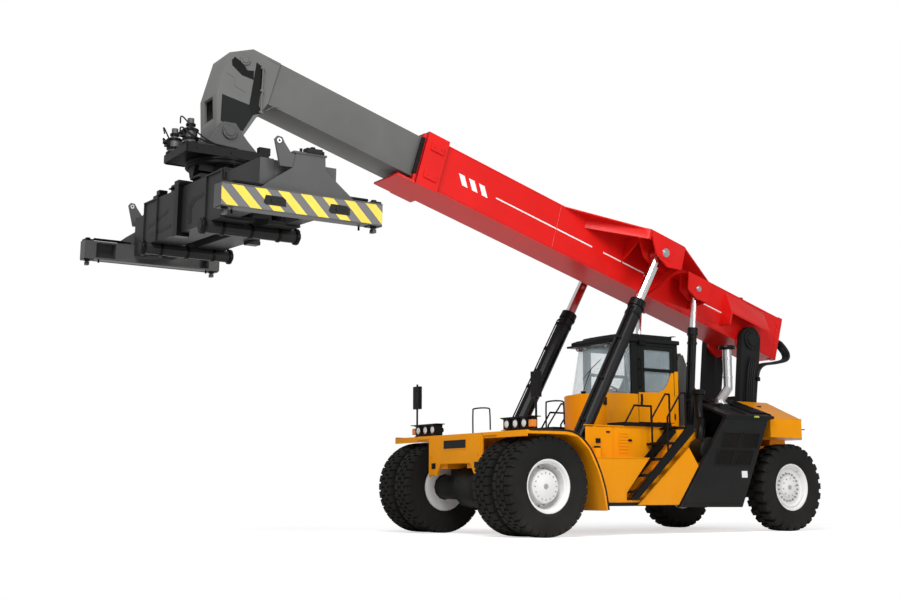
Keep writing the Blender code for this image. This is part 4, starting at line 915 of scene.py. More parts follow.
def main_beam_details(drop):
    """Slots drawn as black sheets of painted shade, flanges, cross tubes' rims, valves and pipes on the spreader's main
    beams.
    """
    low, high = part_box("spreader_frame")
    middle_y = (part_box("slew_frame")[0].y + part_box("slew_frame")[1].y) / 2
    top, bottom = 5.60 + 0.67 - drop, 5.60 - 0.05 - drop

    def tilt(x, y, z):
        """Turned with the spreader's rest slope about its pin."""
        angle = radians(2.0)
        dz = z - 5.60
        return Vector((x * cos(angle) + dz * sin(angle), y + middle_y, 5.60 - x * sin(angle) + dz * cos(angle)))
    faces = bmesh.new()
    for _, row in SIDES:
        outer = row * 0.61
        for x0, x1 in ((-1.62, -1.0), (1.0, 1.62)):
            # top and bottom flanges
            brick(faces, tilt, (x0, x1), (outer, outer + row * 0.028), (top - 0.022, top))
            brick(faces, tilt, (x0, x1), (outer, outer + row * 0.028), (bottom, bottom + 0.022))
        for x in (-1.60, -1.02, 1.02, 1.60):
            brick(faces, tilt, (x - 0.012, x + 0.012), (outer, outer + row * 0.026), (bottom, top))
    for _, row in SIDES:
        for x in (-1.64, 1.64):
            brick(faces, tilt, (x - 0.01, x + 0.01), (row * 0.12, row * 0.62), (top - 0.05, top + 0.012))
            brick(faces, tilt, (x - 0.01, x + 0.01), (row * 0.12, row * 0.62), (bottom - 0.012, bottom + 0.05))
    piece("main_beam_flanges", faces, "spreader", "beam", bevel=0.003)
    # slots drawn as thin black sheets on the beam's face: painted shade of the holes
    slots = bmesh.new()
    for _, row in SIDES:
        outer = row * 0.61
        place = (lambda x, y, z: tilt(x, y, z))
        thick = (outer, outer + row * 0.003)
        prism(slots, place, "Y", thick, [(0.34, bottom + 0.09), (0.46, bottom + 0.09), (0.44, bottom + 0.30), (0.56, bottom + 0.40),
                                         (1.02, bottom + 0.44), (1.02, bottom + 0.50), (0.46, bottom + 0.47),
                                         (0.34, bottom + 0.36)])
        prism(slots, place, "Y", thick, [(-1.45, bottom + 0.26), (-0.55, bottom + 0.40), (-0.55, bottom + 0.45),
                                         (-1.45, bottom + 0.31)])
        prism(slots, place, "Y", thick, [(-1.30, bottom + 0.12), (-0.40, bottom + 0.14), (-0.40, bottom + 0.20),
                                         (-1.30, bottom + 0.18)])
    piece("main_beam_slots_painted_shade", slots, "spreader", "black")
    gear = bmesh.new()
    for side_x in (-1.25, 1.25):
        for _, row in SIDES:
            end = tilt(side_x, row * 0.78, bottom - 0.08)
            collar(gear, end - Vector((0, row * 0.06, 0)), end + Vector((0, row, 0)), ((0.0, 0.05, 0.125), (0.045, 0.075, 0.085)), 20)
            bolt_circle(gear, end - Vector((0, row * 0.01, 0)), (0, row, 0), 0.108, 6, 0.009, 0.012)
        for y in (-0.45, 0.0, 0.45):
            start = tilt(side_x, y - 0.02, bottom - 0.08)
            collar(gear, start, start + Vector((0, 1, 0)), ((0.0, 0.04, 0.115),), 20)
    piece("side_shift_tubes", gear, "spreader", "black", smooth=30)
    top_gear = bmesh.new()
    valve_block(top_gear, tilt, (-0.60, -0.30), (-0.56, -0.36), (top, top + 0.13), 4)
    valve_block(top_gear, tilt, (0.30, 0.62), (-0.56, -0.34), (top, top + 0.12), 5)
    brick(top_gear, tilt, (-1.52, -1.30), (-0.52, -0.30), (top, top + 0.11))
    brick(top_gear, tilt, (-1.48, -1.34), (-0.48, -0.34), (top + 0.10, top + 0.20))
    for x in (-1.10, 1.10):
        brick(top_gear, tilt, (x - 0.10, x + 0.10), (0.20, 0.50), (top, top + 0.10))
    piece("spreader_valves", top_gear, "spreader", "black", bevel=0.004)
    lines = bmesh.new()
    for i in range(4):
        y, lift = -0.50 + 0.035 * i, 0.02 + 0.006 * i
        for _, side in SIDES:
            pipe(lines, smooth_path([tilt(side * 1.12, y, top - 0.01), tilt(side * 1.15, y, top + lift + 0.03),
                                     tilt(side * 1.25, y, top + lift), tilt(side * 1.52, y, top + lift),
                                     tilt(side * 1.62, y, top - 0.01)], 5), 0.010, 8)
    piece("spreader_hoses", lines, "spreader", "hose", smooth=60)
    return tilt


def end_beam_details(word, side, tilt, drop):
    """Slots drawn as black sheets of painted shade, with their rollers, corner castings, twistlocks, lugs and lamps of
    one end beam.
    """
    body = f"spreader_{word}"
    outer = side * 3.03
    mid = 5.60 - drop
    # slot openings drawn as thin black sheets on the outer face: painted shade of the holes
    slots = bmesh.new()
    for y in (-0.455, 0.525):
        prism(slots, tilt, "X", (outer, outer + side * 0.003),
              [(y - 0.16, mid - 0.045), (y - 0.13, mid - 0.075), (y + 0.17, mid - 0.075), (y + 0.17, mid + 0.02),
               (y + 0.12, mid + 0.055), (y - 0.13, mid + 0.055)])
    piece(f"end_beam_slots_painted_shade_{word}", slots, body, "black")
    gear = bmesh.new()
    for y in (-0.455, 0.525):
        rod(gear, tilt(outer - side * 0.02, y - 0.02, mid - 0.01), tilt(outer + side * 0.012, y - 0.02, mid - 0.01), 0.035, 14)
        brick(gear, tilt, (outer, outer + side * 0.010), (y - 0.02, y + 0.10), (mid - 0.025, mid + 0.005))
    for _, row in SIDES:
        # corner box, lock housing, cone and guide
        x, y = side * 2.9265, row * 1.1295
        brick(gear, tilt, (x - 0.10, x + 0.10), (y - 0.088, y + 0.088), (mid - 0.175, mid - 0.145))
        lathe(gear, tilt(x, y, mid - 0.14), tilt(x, y, mid - 1),
              [(0, 0), (0, 0.055), (0.05, 0.050), (0.05, 0)], 20)
        lathe(gear, tilt(x, y, mid - 0.205), tilt(x, y, mid - 1), [(0, 0), (0, 0.046), (0.025, 0.050), (0.05, 0.02), (0.055, 0)], 4)
        rod(gear, tilt(x - side * 0.13, y - row * 0.16, mid - 0.14), tilt(x - side * 0.13, y - row * 0.16, mid - 0.22), 0.016, 10)
        brick(gear, tilt, (x - 0.09, x + 0.09), (y - 0.075, y + 0.075), (mid + 0.145, mid + 0.185))
        rod(gear, tilt(x, y, mid + 0.18), tilt(x, y, mid + 0.215), 0.04, 14)
        rod(gear, tilt(x, y - row * 0.10, mid + 0.20), tilt(x, y - row * 0.62, mid + 0.20), 0.022, 12)
        rod(gear, tilt(x, y - row * 0.60, mid + 0.20), tilt(x, y - row * 0.75, mid + 0.20), 0.012, 10)
    piece(f"twistlock_gear_{word}", gear, body, "black", smooth=30, bevel=0.002)
    lugs = bmesh.new()
    inner = side * 2.93
    prism(lugs, tilt, "X", (inner - side * 0.01, inner + side * 0.03),
          [(-0.36, mid + 0.50), (-0.45, mid + 0.86), (-0.41, mid + 0.91), (-0.34, mid + 0.90), (-0.30, mid + 0.83), (-0.20, mid + 0.70),
           (-0.13, mid + 0.70), (-0.13, mid + 0.50)])
    brick(lugs, tilt, (inner - side * 0.05, inner + side * 0.05), (-0.17, 0.34), (mid + 0.705, mid + 0.735))
    brick(lugs, tilt, (inner - side * 0.12, inner + side * 0.01), (-0.02, 0.03), (mid + 0.15, mid + 0.70))
    brick(lugs, tilt, (inner - side * 0.12, inner + side * 0.01), (0.26, 0.31), (mid + 0.15, mid + 0.68))
    piece(f"end_beam_lugs_{word}", lugs, body, "dark_grey", bevel=0.003)
    eye = bmesh.new()
    lathe(eye, tilt(inner - side * 0.014, -0.385, mid + 0.845), tilt(inner + side * 1, -0.385, mid + 0.845),
          [(0, 0.018), (0, 0.034), (0.052, 0.034), (0.052, 0.018)], 20)
    piece(f"lifting_eye_{word}", eye, body, "steel", smooth=30)
    box = bmesh.new()
    brick(box, tilt, (inner - side * 0.06, inner + side * 0.07), (0.02, 0.26), (mid + 0.735, mid + 0.80))
    rod(box, tilt(inner, 0.14, mid + 0.79), tilt(inner, 0.14, mid + 0.83), 0.035, 14)
    for y in (-0.04, 0.30):
        rod(box, tilt(inner, y, mid + 0.73), tilt(inner, y, mid + 0.79), 0.02, 12)
    piece(f"end_beam_lamp_box_{word}", box, body, "black", bevel=0.003)
    edges = bmesh.new()
    for z in (mid - 0.157, mid + 0.147):
        brick(edges, tilt, (outer - side * 0.02, outer + side * 0.004), (-1.215, 1.215), (z - 0.010, z + 0.010))
    piece(f"end_beam_edges_{word}", edges, body, "dark_grey", bevel=0.002)


def spreader():
    drop = 0.90
    yoke_details()
    slew_details()
    tilt = main_beam_details(drop)
    for word, side in SIDES:
        end_beam_details(word, side, tilt, drop)


# ---- cylinders ----------------------------------------------------------------------------------
def cylinders():
    # rows: name, barrel radius, rod radius, barrel length
    for kind, radius, rod_r, barrel in (("lift", 0.14, 0.095, 3.45), ("recovery", 0.085, 0.055, 2.75)):
        for word, side in SIDES:
            joint = JOINTS[f"{kind}_rod_{word}_slide"]
            base = Vector(JOINTS[f"{kind}_cylinder_{word}_swing"]["pos_m"])
            axis = Vector(joint["axis"]).normalized()
            axis = axis if axis.z > 0 else -axis
            shape = bmesh.new()
            rows = [(0.14, 0.18, radius + 0.012), (0.42, 0.46, radius + 0.010), (barrel - 0.30, barrel - 0.26, radius + 0.010),
                    (barrel - 0.13, barrel - 0.09, radius + 0.018)]
            for a, b, r in rows:
                lathe(shape, base, base + axis, [(a, radius - 0.002), (a, r), (b, r), (b, radius - 0.002)], 32)
            lathe(shape, base, base + axis, [(barrel - 0.09, radius - 0.002), (barrel - 0.09, radius + 0.012),
                                            (barrel + 0.012, radius + 0.012), (barrel + 0.018, radius),
                                            (barrel + 0.018, rod_r + 0.004), (barrel - 0.002, rod_r + 0.004)], 32)
            for i in range(12):
                turn = tau * i / 12
                first = axis.orthogonal().normalized()
                spot = base + axis * (barrel + 0.016) + (radius - 0.022) * (cos(turn) * first + sin(turn) * axis.cross(first))
                bolt(shape, spot, axis, 0.007 if kind == "recovery" else 0.010, 0.010)
            piece(f"{kind}_cylinder_bands_{word}", shape, BODY[f"{kind}_cylinder_{word}"], "black", smooth=30)
            lines = bmesh.new()
            across = Vector((side, 0, 0))
            front = axis.cross(Vector((1, 0, 0)))
            front = front if front.y < 0 else -front
            off = (across * 0.5 + front).normalized()
            clear = radius + 0.022
            for shift in (-0.03, 0.03):
                slide = off.cross(axis).normalized() * shift
                start = base + axis * 0.30 + off * (radius - 0.01) + slide
                path = [start, base + axis * 0.34 + off * clear + slide, base + axis * 0.50 + off * clear + slide,
                        base + axis * (barrel - 0.45) + off * clear + slide,
                        base + axis * (barrel - 0.22) + off * clear + slide,
                        base + axis * (barrel - 0.18) + off * (radius - 0.01) + slide]
                pipe(lines, path, 0.012, 8)
            for share in (0.25, 0.5, 0.75):
                spot = base + axis * barrel * share + off * (radius + 0.012)
                wide = off.cross(axis).normalized()

                def local(a, b, c, spot=spot, wide=wide, off=off):
                    return spot + wide * a + off * b + axis * c
                brick(lines, local, (-0.055, 0.055), (-0.015, 0.026), (-0.02, 0.02))
            piece(f"{kind}_cylinder_pipes_{word}", lines, BODY[f"{kind}_cylinder_{word}"], "black", smooth=30)


# ---- body ---------------------------------------------------------------------------------------
def deck():
    """Fascia plate, fender edging, lamps, mirrors and grab hoops."""
    rim = bmesh.new()
    for _, side in SIDES:
        place = mirrored(ground, side)
        low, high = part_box(f"front_fender_{'left' if side > 0 else 'right'}")
        outline = [(-3.42, 1.70), (-2.62, 1.70), (-2.38, 1.62), (-2.16, 1.42), (-1.98, 1.10), (-1.86, 0.76), (-1.80, 0.43)]
        path = smooth_path([place(2.045, y, z) for y, z in outline], 6)
        pipe(rim, path, 0.018, 8)
    piece("fender_edging", rim, "chassis", "hose", smooth=60)
    flange = bmesh.new()
    for _, side in SIDES:
        place = mirrored(ground, side)
        prism(flange, place, "X", (2.046, 2.052), [(-3.43, 1.655), (-3.43, 1.70), (-2.62, 1.70), (-2.64, 1.645)])
        brick(flange, place, (0.80, 2.03), (-3.445, -3.428), (1.60, 1.70))
        brick(flange, place, (0.802, 0.83), (-3.47, -3.44), (0.98, 1.69))
    piece("deck_flanges", flange, "chassis", "yellow", bevel=0.004)
    fascia = bmesh.new()
    brick(fascia, ground, (-0.34, 0.34), (-3.482, -3.470), (1.46, 1.60))
    piece("fascia_blank_plate", fascia, "chassis", "charcoal", bevel=0.006)
    ridge = bmesh.new()
    brick(ridge, ground, (-0.36, 0.36), (-3.476, -3.469), (1.44, 1.62))
    for _, side in SIDES:
        place = mirrored(ground, side)
        brick(ridge, place, (0.60, 0.78), (-3.478, -3.468), (1.02, 1.66))
    for x in (-0.72, 0.72):
        for z in (1.08, 1.34, 1.60):
            bolt(ridge, ground(x, -3.478, z), (0, -1, 0), 0.014, 0.012)
    piece("fascia_frame", ridge, "chassis", "yellow", bevel=0.005)
    hooks = bmesh.new()
    for x in (-0.66, 0.66):
        brick(hooks, ground, (x - 0.06, x + 0.06), (-3.486, -3.470), (1.12, 1.22))
        rod(hooks, ground(x, -3.47, 1.17), ground(x, -3.50, 1.17), 0.035, 16)
    piece("tow_pin_plates", hooks, "chassis", "black", bevel=0.004)
    for word, side in SIDES:
        lamps(word, side)


def lamps(word, side):
    place = mirrored(ground, side)
    low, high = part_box(f"lamps_and_mirror_{word}")
    body = "chassis"
    faces, lenses, ambers = bmesh.new(), bmesh.new(), bmesh.new()
    for x in (1.14, 1.38, 1.62):
        brick(faces, place, (x - 0.10, x + 0.10), (-3.195, -3.178), (1.74, 1.92))
        brick(faces, place, (x - 0.10, x + 0.10), (-3.23, -3.04), (1.908, 1.925))
        lathe(lenses, place(x, -3.185, 1.83), place(x, -4, 1.83), [(0, 0), (0, 0.068), (0.014, 0.066), (0.024, 0.045),
                                                                    (0.028, 0)], 24)
        lathe(faces, place(x, -3.185, 1.83), place(x, -4, 1.83), [(0, 0.066), (0, 0.080), (0.022, 0.080), (0.022, 0.066)], 24)
        rod(faces, place(x, -3.04, 1.83), place(x, -2.98, 1.83), 0.045, 14)
    brick(faces, place, (0.98, 1.86), (-3.22, -3.03), (1.925, 1.940))
    piece(f"deck_lamp_housings_{word}", faces, body, "black", bevel=0.003)
    piece(f"deck_lamp_lenses_{word}", lenses, body, "lens", smooth=40)
    brick(ambers, place, (1.74, 1.84), (-3.20, -3.10), (1.76, 1.88))
    piece(f"deck_turn_lamp_{word}", ambers, body, "amber", bevel=0.012)
    mirrors = bmesh.new()
    brick(mirrors, place, (1.735, 1.905), (-3.056, -3.052), (2.26, 2.64))
    piece(f"mirror_glass_{word}", mirrors, body, "mirror", bevel=0.001)
    shell = bmesh.new()
    brick(shell, place, (1.72, 1.92), (-3.135, -3.108), (2.24, 2.66))
    for z in (2.32, 2.58):
        brick(shell, place, (1.79, 1.85), (-3.14, -3.08), (z - 0.02, z + 0.02))
    lathe(shell, place(1.82, -3.10, 1.70), place(1.82, -3.10, 3), [(0, 0), (0, 0.045), (0.02, 0.045), (0.03, 0.026), (0.05, 0.022),
                                                                   (0.05, 0)], 16)
    piece(f"mirror_shell_{word}", shell, body, "black", bevel=0.006)
    hoop = bmesh.new()
    pipe(hoop, smooth_path([place(1.10, -2.34, 1.70), place(1.10, -2.34, 2.16), place(1.10, -2.30, 2.24), place(1.10, -2.00, 2.26),
                            place(1.10, -1.96, 2.18), place(1.10, -1.95, 1.86)], 5), 0.014, 8)
    for y in (-2.34,):
        brick(hoop, place, (1.06, 1.14), (y - 0.04, y + 0.04), (1.70, 1.712))
    piece(f"deck_grab_hoop_{word}", hoop, body, "black", smooth=40)


def lower_body(word, side):
    """Panel lines, skirts, filler, latch and tread plates beside the steps."""
    place = mirrored(ground, side)
    seams, darks, plates = bmesh.new(), bmesh.new(), bmesh.new()
    brick(darks, place, (1.62, 1.635), (-1.72, 0.00), (0.50, 0.545))
    brick(darks, place, (1.10, 1.62), (-1.71, 0.05), (0.485, 0.50))
    piece(f"sill_strip_{word}", darks, "chassis", "charcoal", bevel=0.003)
    pipe(seams, [place(1.62, -1.05, 0.56), place(1.62, -1.05, 1.29)], 0.004, 6)
    brick(seams, place, (1.20, 1.63), (-1.73, -0.50), (1.292, 1.308))
    brick(seams, place, (1.200, 1.212), (-1.58, -0.98), (1.32, 1.84))
    brick(seams, place, (1.200, 1.212), (-0.94, -0.30), (1.32, 1.84))
    brick(seams, place, (1.200, 1.224), (-1.62, 0.36), (1.856, 1.872))
    piece(f"body_panels_{word}", seams, "chassis", "yellow", bevel=0.006)
    lathe(plates, place(1.30, -1.40, 1.30), place(1.30, -1.40, 2), [(0, 0), (0, 0.085), (0.16, 0.085), (0.17, 0.07), (0.17, 0)], 28)
    piece(f"filler_neck_{word}", plates, "chassis", "yellow", smooth=30)
    fitted = bmesh.new()
    brick(fitted, place, (1.212, 1.232), (-1.36, -1.26), (1.56, 1.64))
    brick(fitted, place, (1.212, 1.224), (-1.12, -1.04), (1.74, 1.77))
    brick(fitted, place, (1.212, 1.230), (-0.62, -0.54), (1.60, 1.64))
    lathe(fitted, place(1.30, -1.40, 1.47), place(1.30, -1.40, 2), [(0, 0), (0, 0.06), (0.03, 0.06), (0.035, 0)], 20)
    piece(f"body_latches_{word}", fitted, "chassis", "black", bevel=0.004)
    vent = bmesh.new()
    for i in range(7):
        z = 1.40 + 0.055 * i
        brick(vent, place, (1.212, 1.222), (-0.84, -0.62), (z, z + 0.028))
    piece(f"body_vent_{word}", vent, "chassis", "yellow", bevel=0.003)
    grips = bmesh.new()
    for y, z in ((-0.86, 0.74), (-0.60, 1.02), (-0.33, 1.30), (-0.06, 1.58), (0.26, 1.86)):
        for i in range(5):
            spot = y - 0.096 + 0.048 * i
            brick(grips, place, (1.26, 1.68), (spot - 0.007, spot + 0.007), (z, z + 0.008))
    piece(f"tread_grips_{word}", grips, "chassis", "black", bevel=0.002)
    strip = bmesh.new()
    brick(strip, place, (1.20, 1.26), (0.10, 0.40), (1.955, 1.97))
    brick(strip, place, (1.24, 1.70), (0.37, 0.392), (1.86, 1.885))
    piece(f"landing_edge_{word}", strip, "chassis", "yellow", bevel=0.003)


def side_panels(word, side):
    """Sunken grille windows, blank plate, side lamp and bolts of the panel beside the engine."""
    place = mirrored(ground, side)
    out = 1.70
    frames, grille = bmesh.new(), bmesh.new()
    for row_y, row_z in ((1.32, 1.52), (1.28, 1.21)):
        for column in (0, 1):
            y0 = row_y - 0.18 + 0.48 * column + (0.04 if row_z > 1.3 else -0.10)
            lean = 0.10
            outline = [(y0, row_z), (y0 + 0.40, row_z), (y0 + 0.40 + lean, row_z + 0.26), (y0 + lean, row_z + 0.26)]
            prism(grille, place, "X", (out, out + 0.003), outline)
            cy, cz = y0 + 0.20 + lean / 2, row_z + 0.13
            ring = [(y + (0.02 if y > cy else -0.02), z + (0.02 if z > cz else -0.02)) for y, z in outline]
            for i in range(4):
                j = (i + 1) % 4
                quad = [outline[i], outline[j], ring[j], ring[i]]
                prism(frames, place, "X", (out, out + 0.012), quad)
            for i in range(9):
                y = y0 + 0.045 * i + 0.02
                pipe(frames, [place(out + 0.006, y, row_z), place(out + 0.006, y + lean, row_z + 0.26)], 0.004, 4)
    piece(f"side_grille_mesh_{word}", grille, "chassis", "mesh")
    for y, z in ((0.24, 0.52), (0.90, 0.52), (1.56, 0.52), (1.92, 1.22), (2.30, 1.96), (1.44, 1.98), (0.86, 1.40)):
        bolt(frames, place(out, y, z), (side, 0, 0), 0.012, 0.010)
    prism(frames, place, "X", (out, out + 0.006), [(0.22, 0.53), (1.63, 0.52), (1.70, 0.66), (0.30, 0.67)])
    piece(f"side_panel_frames_{word}", frames, "chassis", "charcoal", bevel=0.002)
    plate = bmesh.new()
    brick(plate, place, (out, out + 0.005), (1.66, 1.80), (0.98, 1.10))
    piece(f"side_blank_plate_{word}", plate, "chassis", "white", bevel=0.001)
    lamp_box = bmesh.new()
    brick(lamp_box, place, (1.65, 1.672), (2.08, 2.20), (2.08, 2.115))
    piece(f"side_marker_lamp_{word}", lamp_box, "chassis", "green", bevel=0.006)
    trim = bmesh.new()
    brick(trim, place, (1.60, 1.715), (1.30, 2.44), (2.045, 2.068))
    piece(f"side_panel_top_{word}", trim, "chassis", "charcoal", bevel=0.003)


def air_filter():
    for word, side in SIDES:
        place = mirrored(ground, side)
        shape = bmesh.new()
        lathe(shape, place(1.22, 1.02, 1.47), place(2, 1.02, 1.47),
              [(0, 0), (0, 0.20), (0.05, 0.225), (0.30, 0.225), (0.31, 0.235), (0.34, 0.235), (0.35, 0.21), (0.37, 0.20),
               (0.375, 0.08), (0.37, 0)], 40)
        for i in range(4):
            turn = tau * (i + 0.5) / 4
            spot = place(1.545, 1.02 + 0.235 * cos(turn), 1.47 + 0.235 * sin(turn))
            brick(shape, lambda a, b, c, s=spot: s + Vector((a, b, c)), (-0.03, 0.03), (-0.02, 0.02), (-0.02, 0.02))
        piece(f"air_filter_{word}", shape, "chassis", "charcoal", smooth=30)
        duct = bmesh.new()
        pipe(duct, smooth_path([place(1.30, 1.02, 1.66), place(1.30, 1.06, 1.84), place(1.24, 1.14, 1.98), place(1.16, 1.20, 2.06),
                                place(1.10, 1.22, 2.30), place(1.10, 1.22, 2.52)], 6), 0.075, 20)
        lathe(duct, place(1.10, 1.22, 2.50), place(1.10, 1.22, 3), [(0, 0), (0, 0.078), (0.01, 0.12), (0.07, 0.125), (0.10, 0.10),
                                                                    (0.11, 0)], 28)
        piece(f"air_intake_{word}", duct, "chassis", "black", smooth=40)


def hood():
    """Slatted grilles, ribs and the exhaust's fittings."""
    slats, frames = bmesh.new(), bmesh.new()
    eave, ridge_x, top = 2.12, 0.55, 2.50
    run = Vector((1.65 - ridge_x, eave - top))
    for _, side in SIDES:
        place = mirrored(ground, side)

        def on_slope(a, y, lift, place=place):
            """a: 0 at the ridge, 1 at the eave."""
            normal = Vector((-run.y, run.x)).normalized()
            normal = normal if normal.y > 0 else -normal
            return place(ridge_x + run.x * a + normal.x * lift, y, top + run.y * a + normal.y * lift)
        for i in range(12):
            y = 1.98 + 0.048 * i
            if side > 0 and y < 2.14:
                continue
            brick(slats, lambda a, b, c, f=on_slope: f(a, b, c), (0.10, 0.88), (y, y + 0.020), (0.0, 0.030))
        brick(frames, lambda a, b, c, f=on_slope: f(a, b, c), (0.04, 0.95), (1.90, 1.925), (0.0, 0.02))
        brick(frames, lambda a, b, c, f=on_slope: f(a, b, c), (0.04, 0.95), (2.575, 2.60), (0.0, 0.02))
    piece("hood_slats", slats, "chassis", "charcoal", bevel=0.003)
    for x in (-0.50, 0.50):
        brick(frames, ground, (x - 0.02, x + 0.02), (1.84, 2.58), (2.498, 2.515))
    piece("hood_frames", frames, "chassis", "charcoal", bevel=0.003)
    low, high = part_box("exhaust_stack")
    x, y, tip = (low.x + high.x) / 2, high.y - 0.085, high.z
    cap = bmesh.new()
    lathe(cap, Vector((x, y, tip - 0.01)), Vector((x, y, tip + 1)), [(0, 0.075), (0, 0.11), (0.02, 0.155), (0.035, 0.16), (0.075, 0.15),
                                                                    (0.085, 0.0)], 28)
    piece("exhaust_rain_cap", cap, "chassis", "black", smooth=30)
    bands = bmesh.new()
    lathe(bands, Vector((x, y, tip - 0.55)), Vector((x, y, tip)), [(0, 0.083), (0, 0.092), (0.035, 0.092), (0.035, 0.083)], 28)
    lathe(bands, Vector((x, y, tip - 0.20)), Vector((x, y, tip)), [(0, 0.083), (0, 0.092), (0.035, 0.092), (0.035, 0.083)], 28)
    rod(bands, Vector((x, y, tip - 0.53)), Vector((0.56, y + 0.45, tip - 0.53)), 0.012, 10)
    lathe(bands, Vector((x, low.y + 0.085, low.z - 0.01)), Vector((x, low.y + 0.085, low.z + 1)),
          [(0, 0.0), (0, 0.13), (0.025, 0.13), (0.03, 0.10), (0.06, 0.095), (0.06, 0)], 28)
    piece("exhaust_bands", bands, "chassis", "steel", smooth=30)


def counterweight():
    """Casting seams, lifting eyes and rear lamps."""
    low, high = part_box("counterweight")
    seams = bmesh.new()
    for _, side in SIDES:
        place = mirrored(ground, side)
        for z in (2.095,):
            pipe(seams, [place(1.545, 2.64, z), place(1.545, 3.47, z), place(0.95, 4.145, z), place(0, 4.145, z)], 0.010, 6)
    piece("counterweight_seam", seams, "chassis", "yellow", smooth=40)
    eyes = bmesh.new()
    for _, side in SIDES:
        place = mirrored(ground, side)
        lathe(eyes, place(0.86, 3.05, 2.33), place(0.86, 3.05, 3), [(0, 0), (0, 0.06), (0.05, 0.055), (0.05, 0)], 20)
        brick(eyes, place, (0.80, 0.92), (3.38, 3.50), (2.26, 2.31))
        brick(eyes, place, (1.20, 1.50), (3.60, 3.62), (1.90, 1.92))
    piece("counterweight_eyes", eyes, "chassis", "black", bevel=0.004)
    red, amber = bmesh.new(), bmesh.new()
    for _, side in SIDES:
        place = mirrored(ground, side)
        brick(red, place, (0.58, 0.74), (4.145, 4.165), (1.86, 1.96))
        brick(amber, place, (0.76, 0.88), (4.145, 4.165), (1.86, 1.96))
    piece("rear_lamps_red", red, "chassis", "signal", bevel=0.006)
    piece("rear_lamps_amber", amber, "chassis", "amber", bevel=0.006)
    grille = bmesh.new()
    for i in range(9):
        z = 1.80 + 0.030 * i
        brick(grille, ground, (-0.42, 0.42), (4.146, 4.160), (z, z + 0.014))
    piece("rear_grille", grille, "chassis", "charcoal", bevel=0.002)


def tower():
    """Pin caps, gussets, pipes and guard beside the boom's foot."""
    caps = bmesh.new()
    for _, side in SIDES:
        centre = BOOM_PIVOT + Vector((side * 0.60, 0, 0))
        collar(caps, centre - Vector((side * 0.04, 0, 0)), centre + Vector((side, 0, 0)), ((0, 0.03, 0.20), (0.028, 0.05, 0.13)), 36)
        bolt_circle(caps, centre - Vector((side * 0.01, 0, 0)), (side, 0, 0), 0.165, 10, 0.011, 0.012)
    piece("boom_pin_caps", caps, "chassis", "charcoal", smooth=30)
    ribs = bmesh.new()
    for _, side in SIDES:
        place = mirrored(ground, side)
        prism(ribs, place, "X", (0.56, 0.574), [(2.90, 1.70), (3.26, 1.70), (3.24, 2.55), (3.28, 3.40), (3.16, 3.40), (2.98, 2.65)])
        brick(ribs, place, (0.56, 0.62), (2.80, 3.34), (1.62, 1.66))
        for y in (2.86, 3.06, 3.26):
            bolt(ribs, place(0.60, y, 1.66), (0, 0, 1), 0.014, 0.016)
    piece("tower_ribs", ribs, "chassis", "charcoal", bevel=0.004)
    lines = bmesh.new()
    for i in range(4):
        y = 3.00 + 0.055 * i
        for _, side in SIDES:
            place = mirrored(ground, side)
            pipe(lines, smooth_path([place(0.60, y - 0.02, 1.80), place(0.60, y, 2.10), place(0.60, y + 0.03, 2.70),
                                     place(0.60, y + 0.12, 3.20), place(0.60, y + 0.20, 3.34)], 5), 0.016, 8)
    piece("tower_pipes", lines, "chassis", "hose", smooth=60)
    guard = bmesh.new()
    for _, side in SIDES:
        place = mirrored(ground, side)
        prism(guard, place, "X", (0.575, 0.600), [(1.16, 1.90), (1.16, 3.10), (1.24, 3.26), (1.34, 3.30), (1.48, 2.98), (1.62, 2.72),
                                                 (1.60, 2.60), (1.78, 2.30), (1.78, 1.90)])
    piece("rear_cover_cheeks", guard, "chassis", "grey", bevel=0.006)
    fold = bmesh.new()
    for _, side in SIDES:
        place = mirrored(ground, side)
        prism(fold, place, "Y", (1.14, 1.16), [(0.20, 1.90), (0.66, 1.90), (0.66, 2.80), (0.60, 3.06), (0.20, 3.06)])
    piece("cab_rear_guard", fold, "chassis", "black", bevel=0.004)


# ---- cab ----------------------------------------------------------------------------------------
def cab():
    half, rear, sill = 0.70, 1.10, 2.50
    wave = bmesh.new()
    for _, side in SIDES:
        place = mirrored(ground, side)
        # rear quarter panel that sweeps up behind the door
        curve = [(0.20, 2.52), (0.55, 2.53), (0.74, 2.60), (0.88, 2.76), (0.98, 2.94), (1.098, 2.96), (1.098, 2.52)]
        if side > 0:
            curve = [(1.004, 2.50), (1.098, 2.50), (1.098, 2.96), (1.004, 2.95)]
        prism(wave, place, "X", (half, half + 0.006), curve)
    piece("cab_quarter_panels", wave, "chassis", "yellow", bevel=0.002)


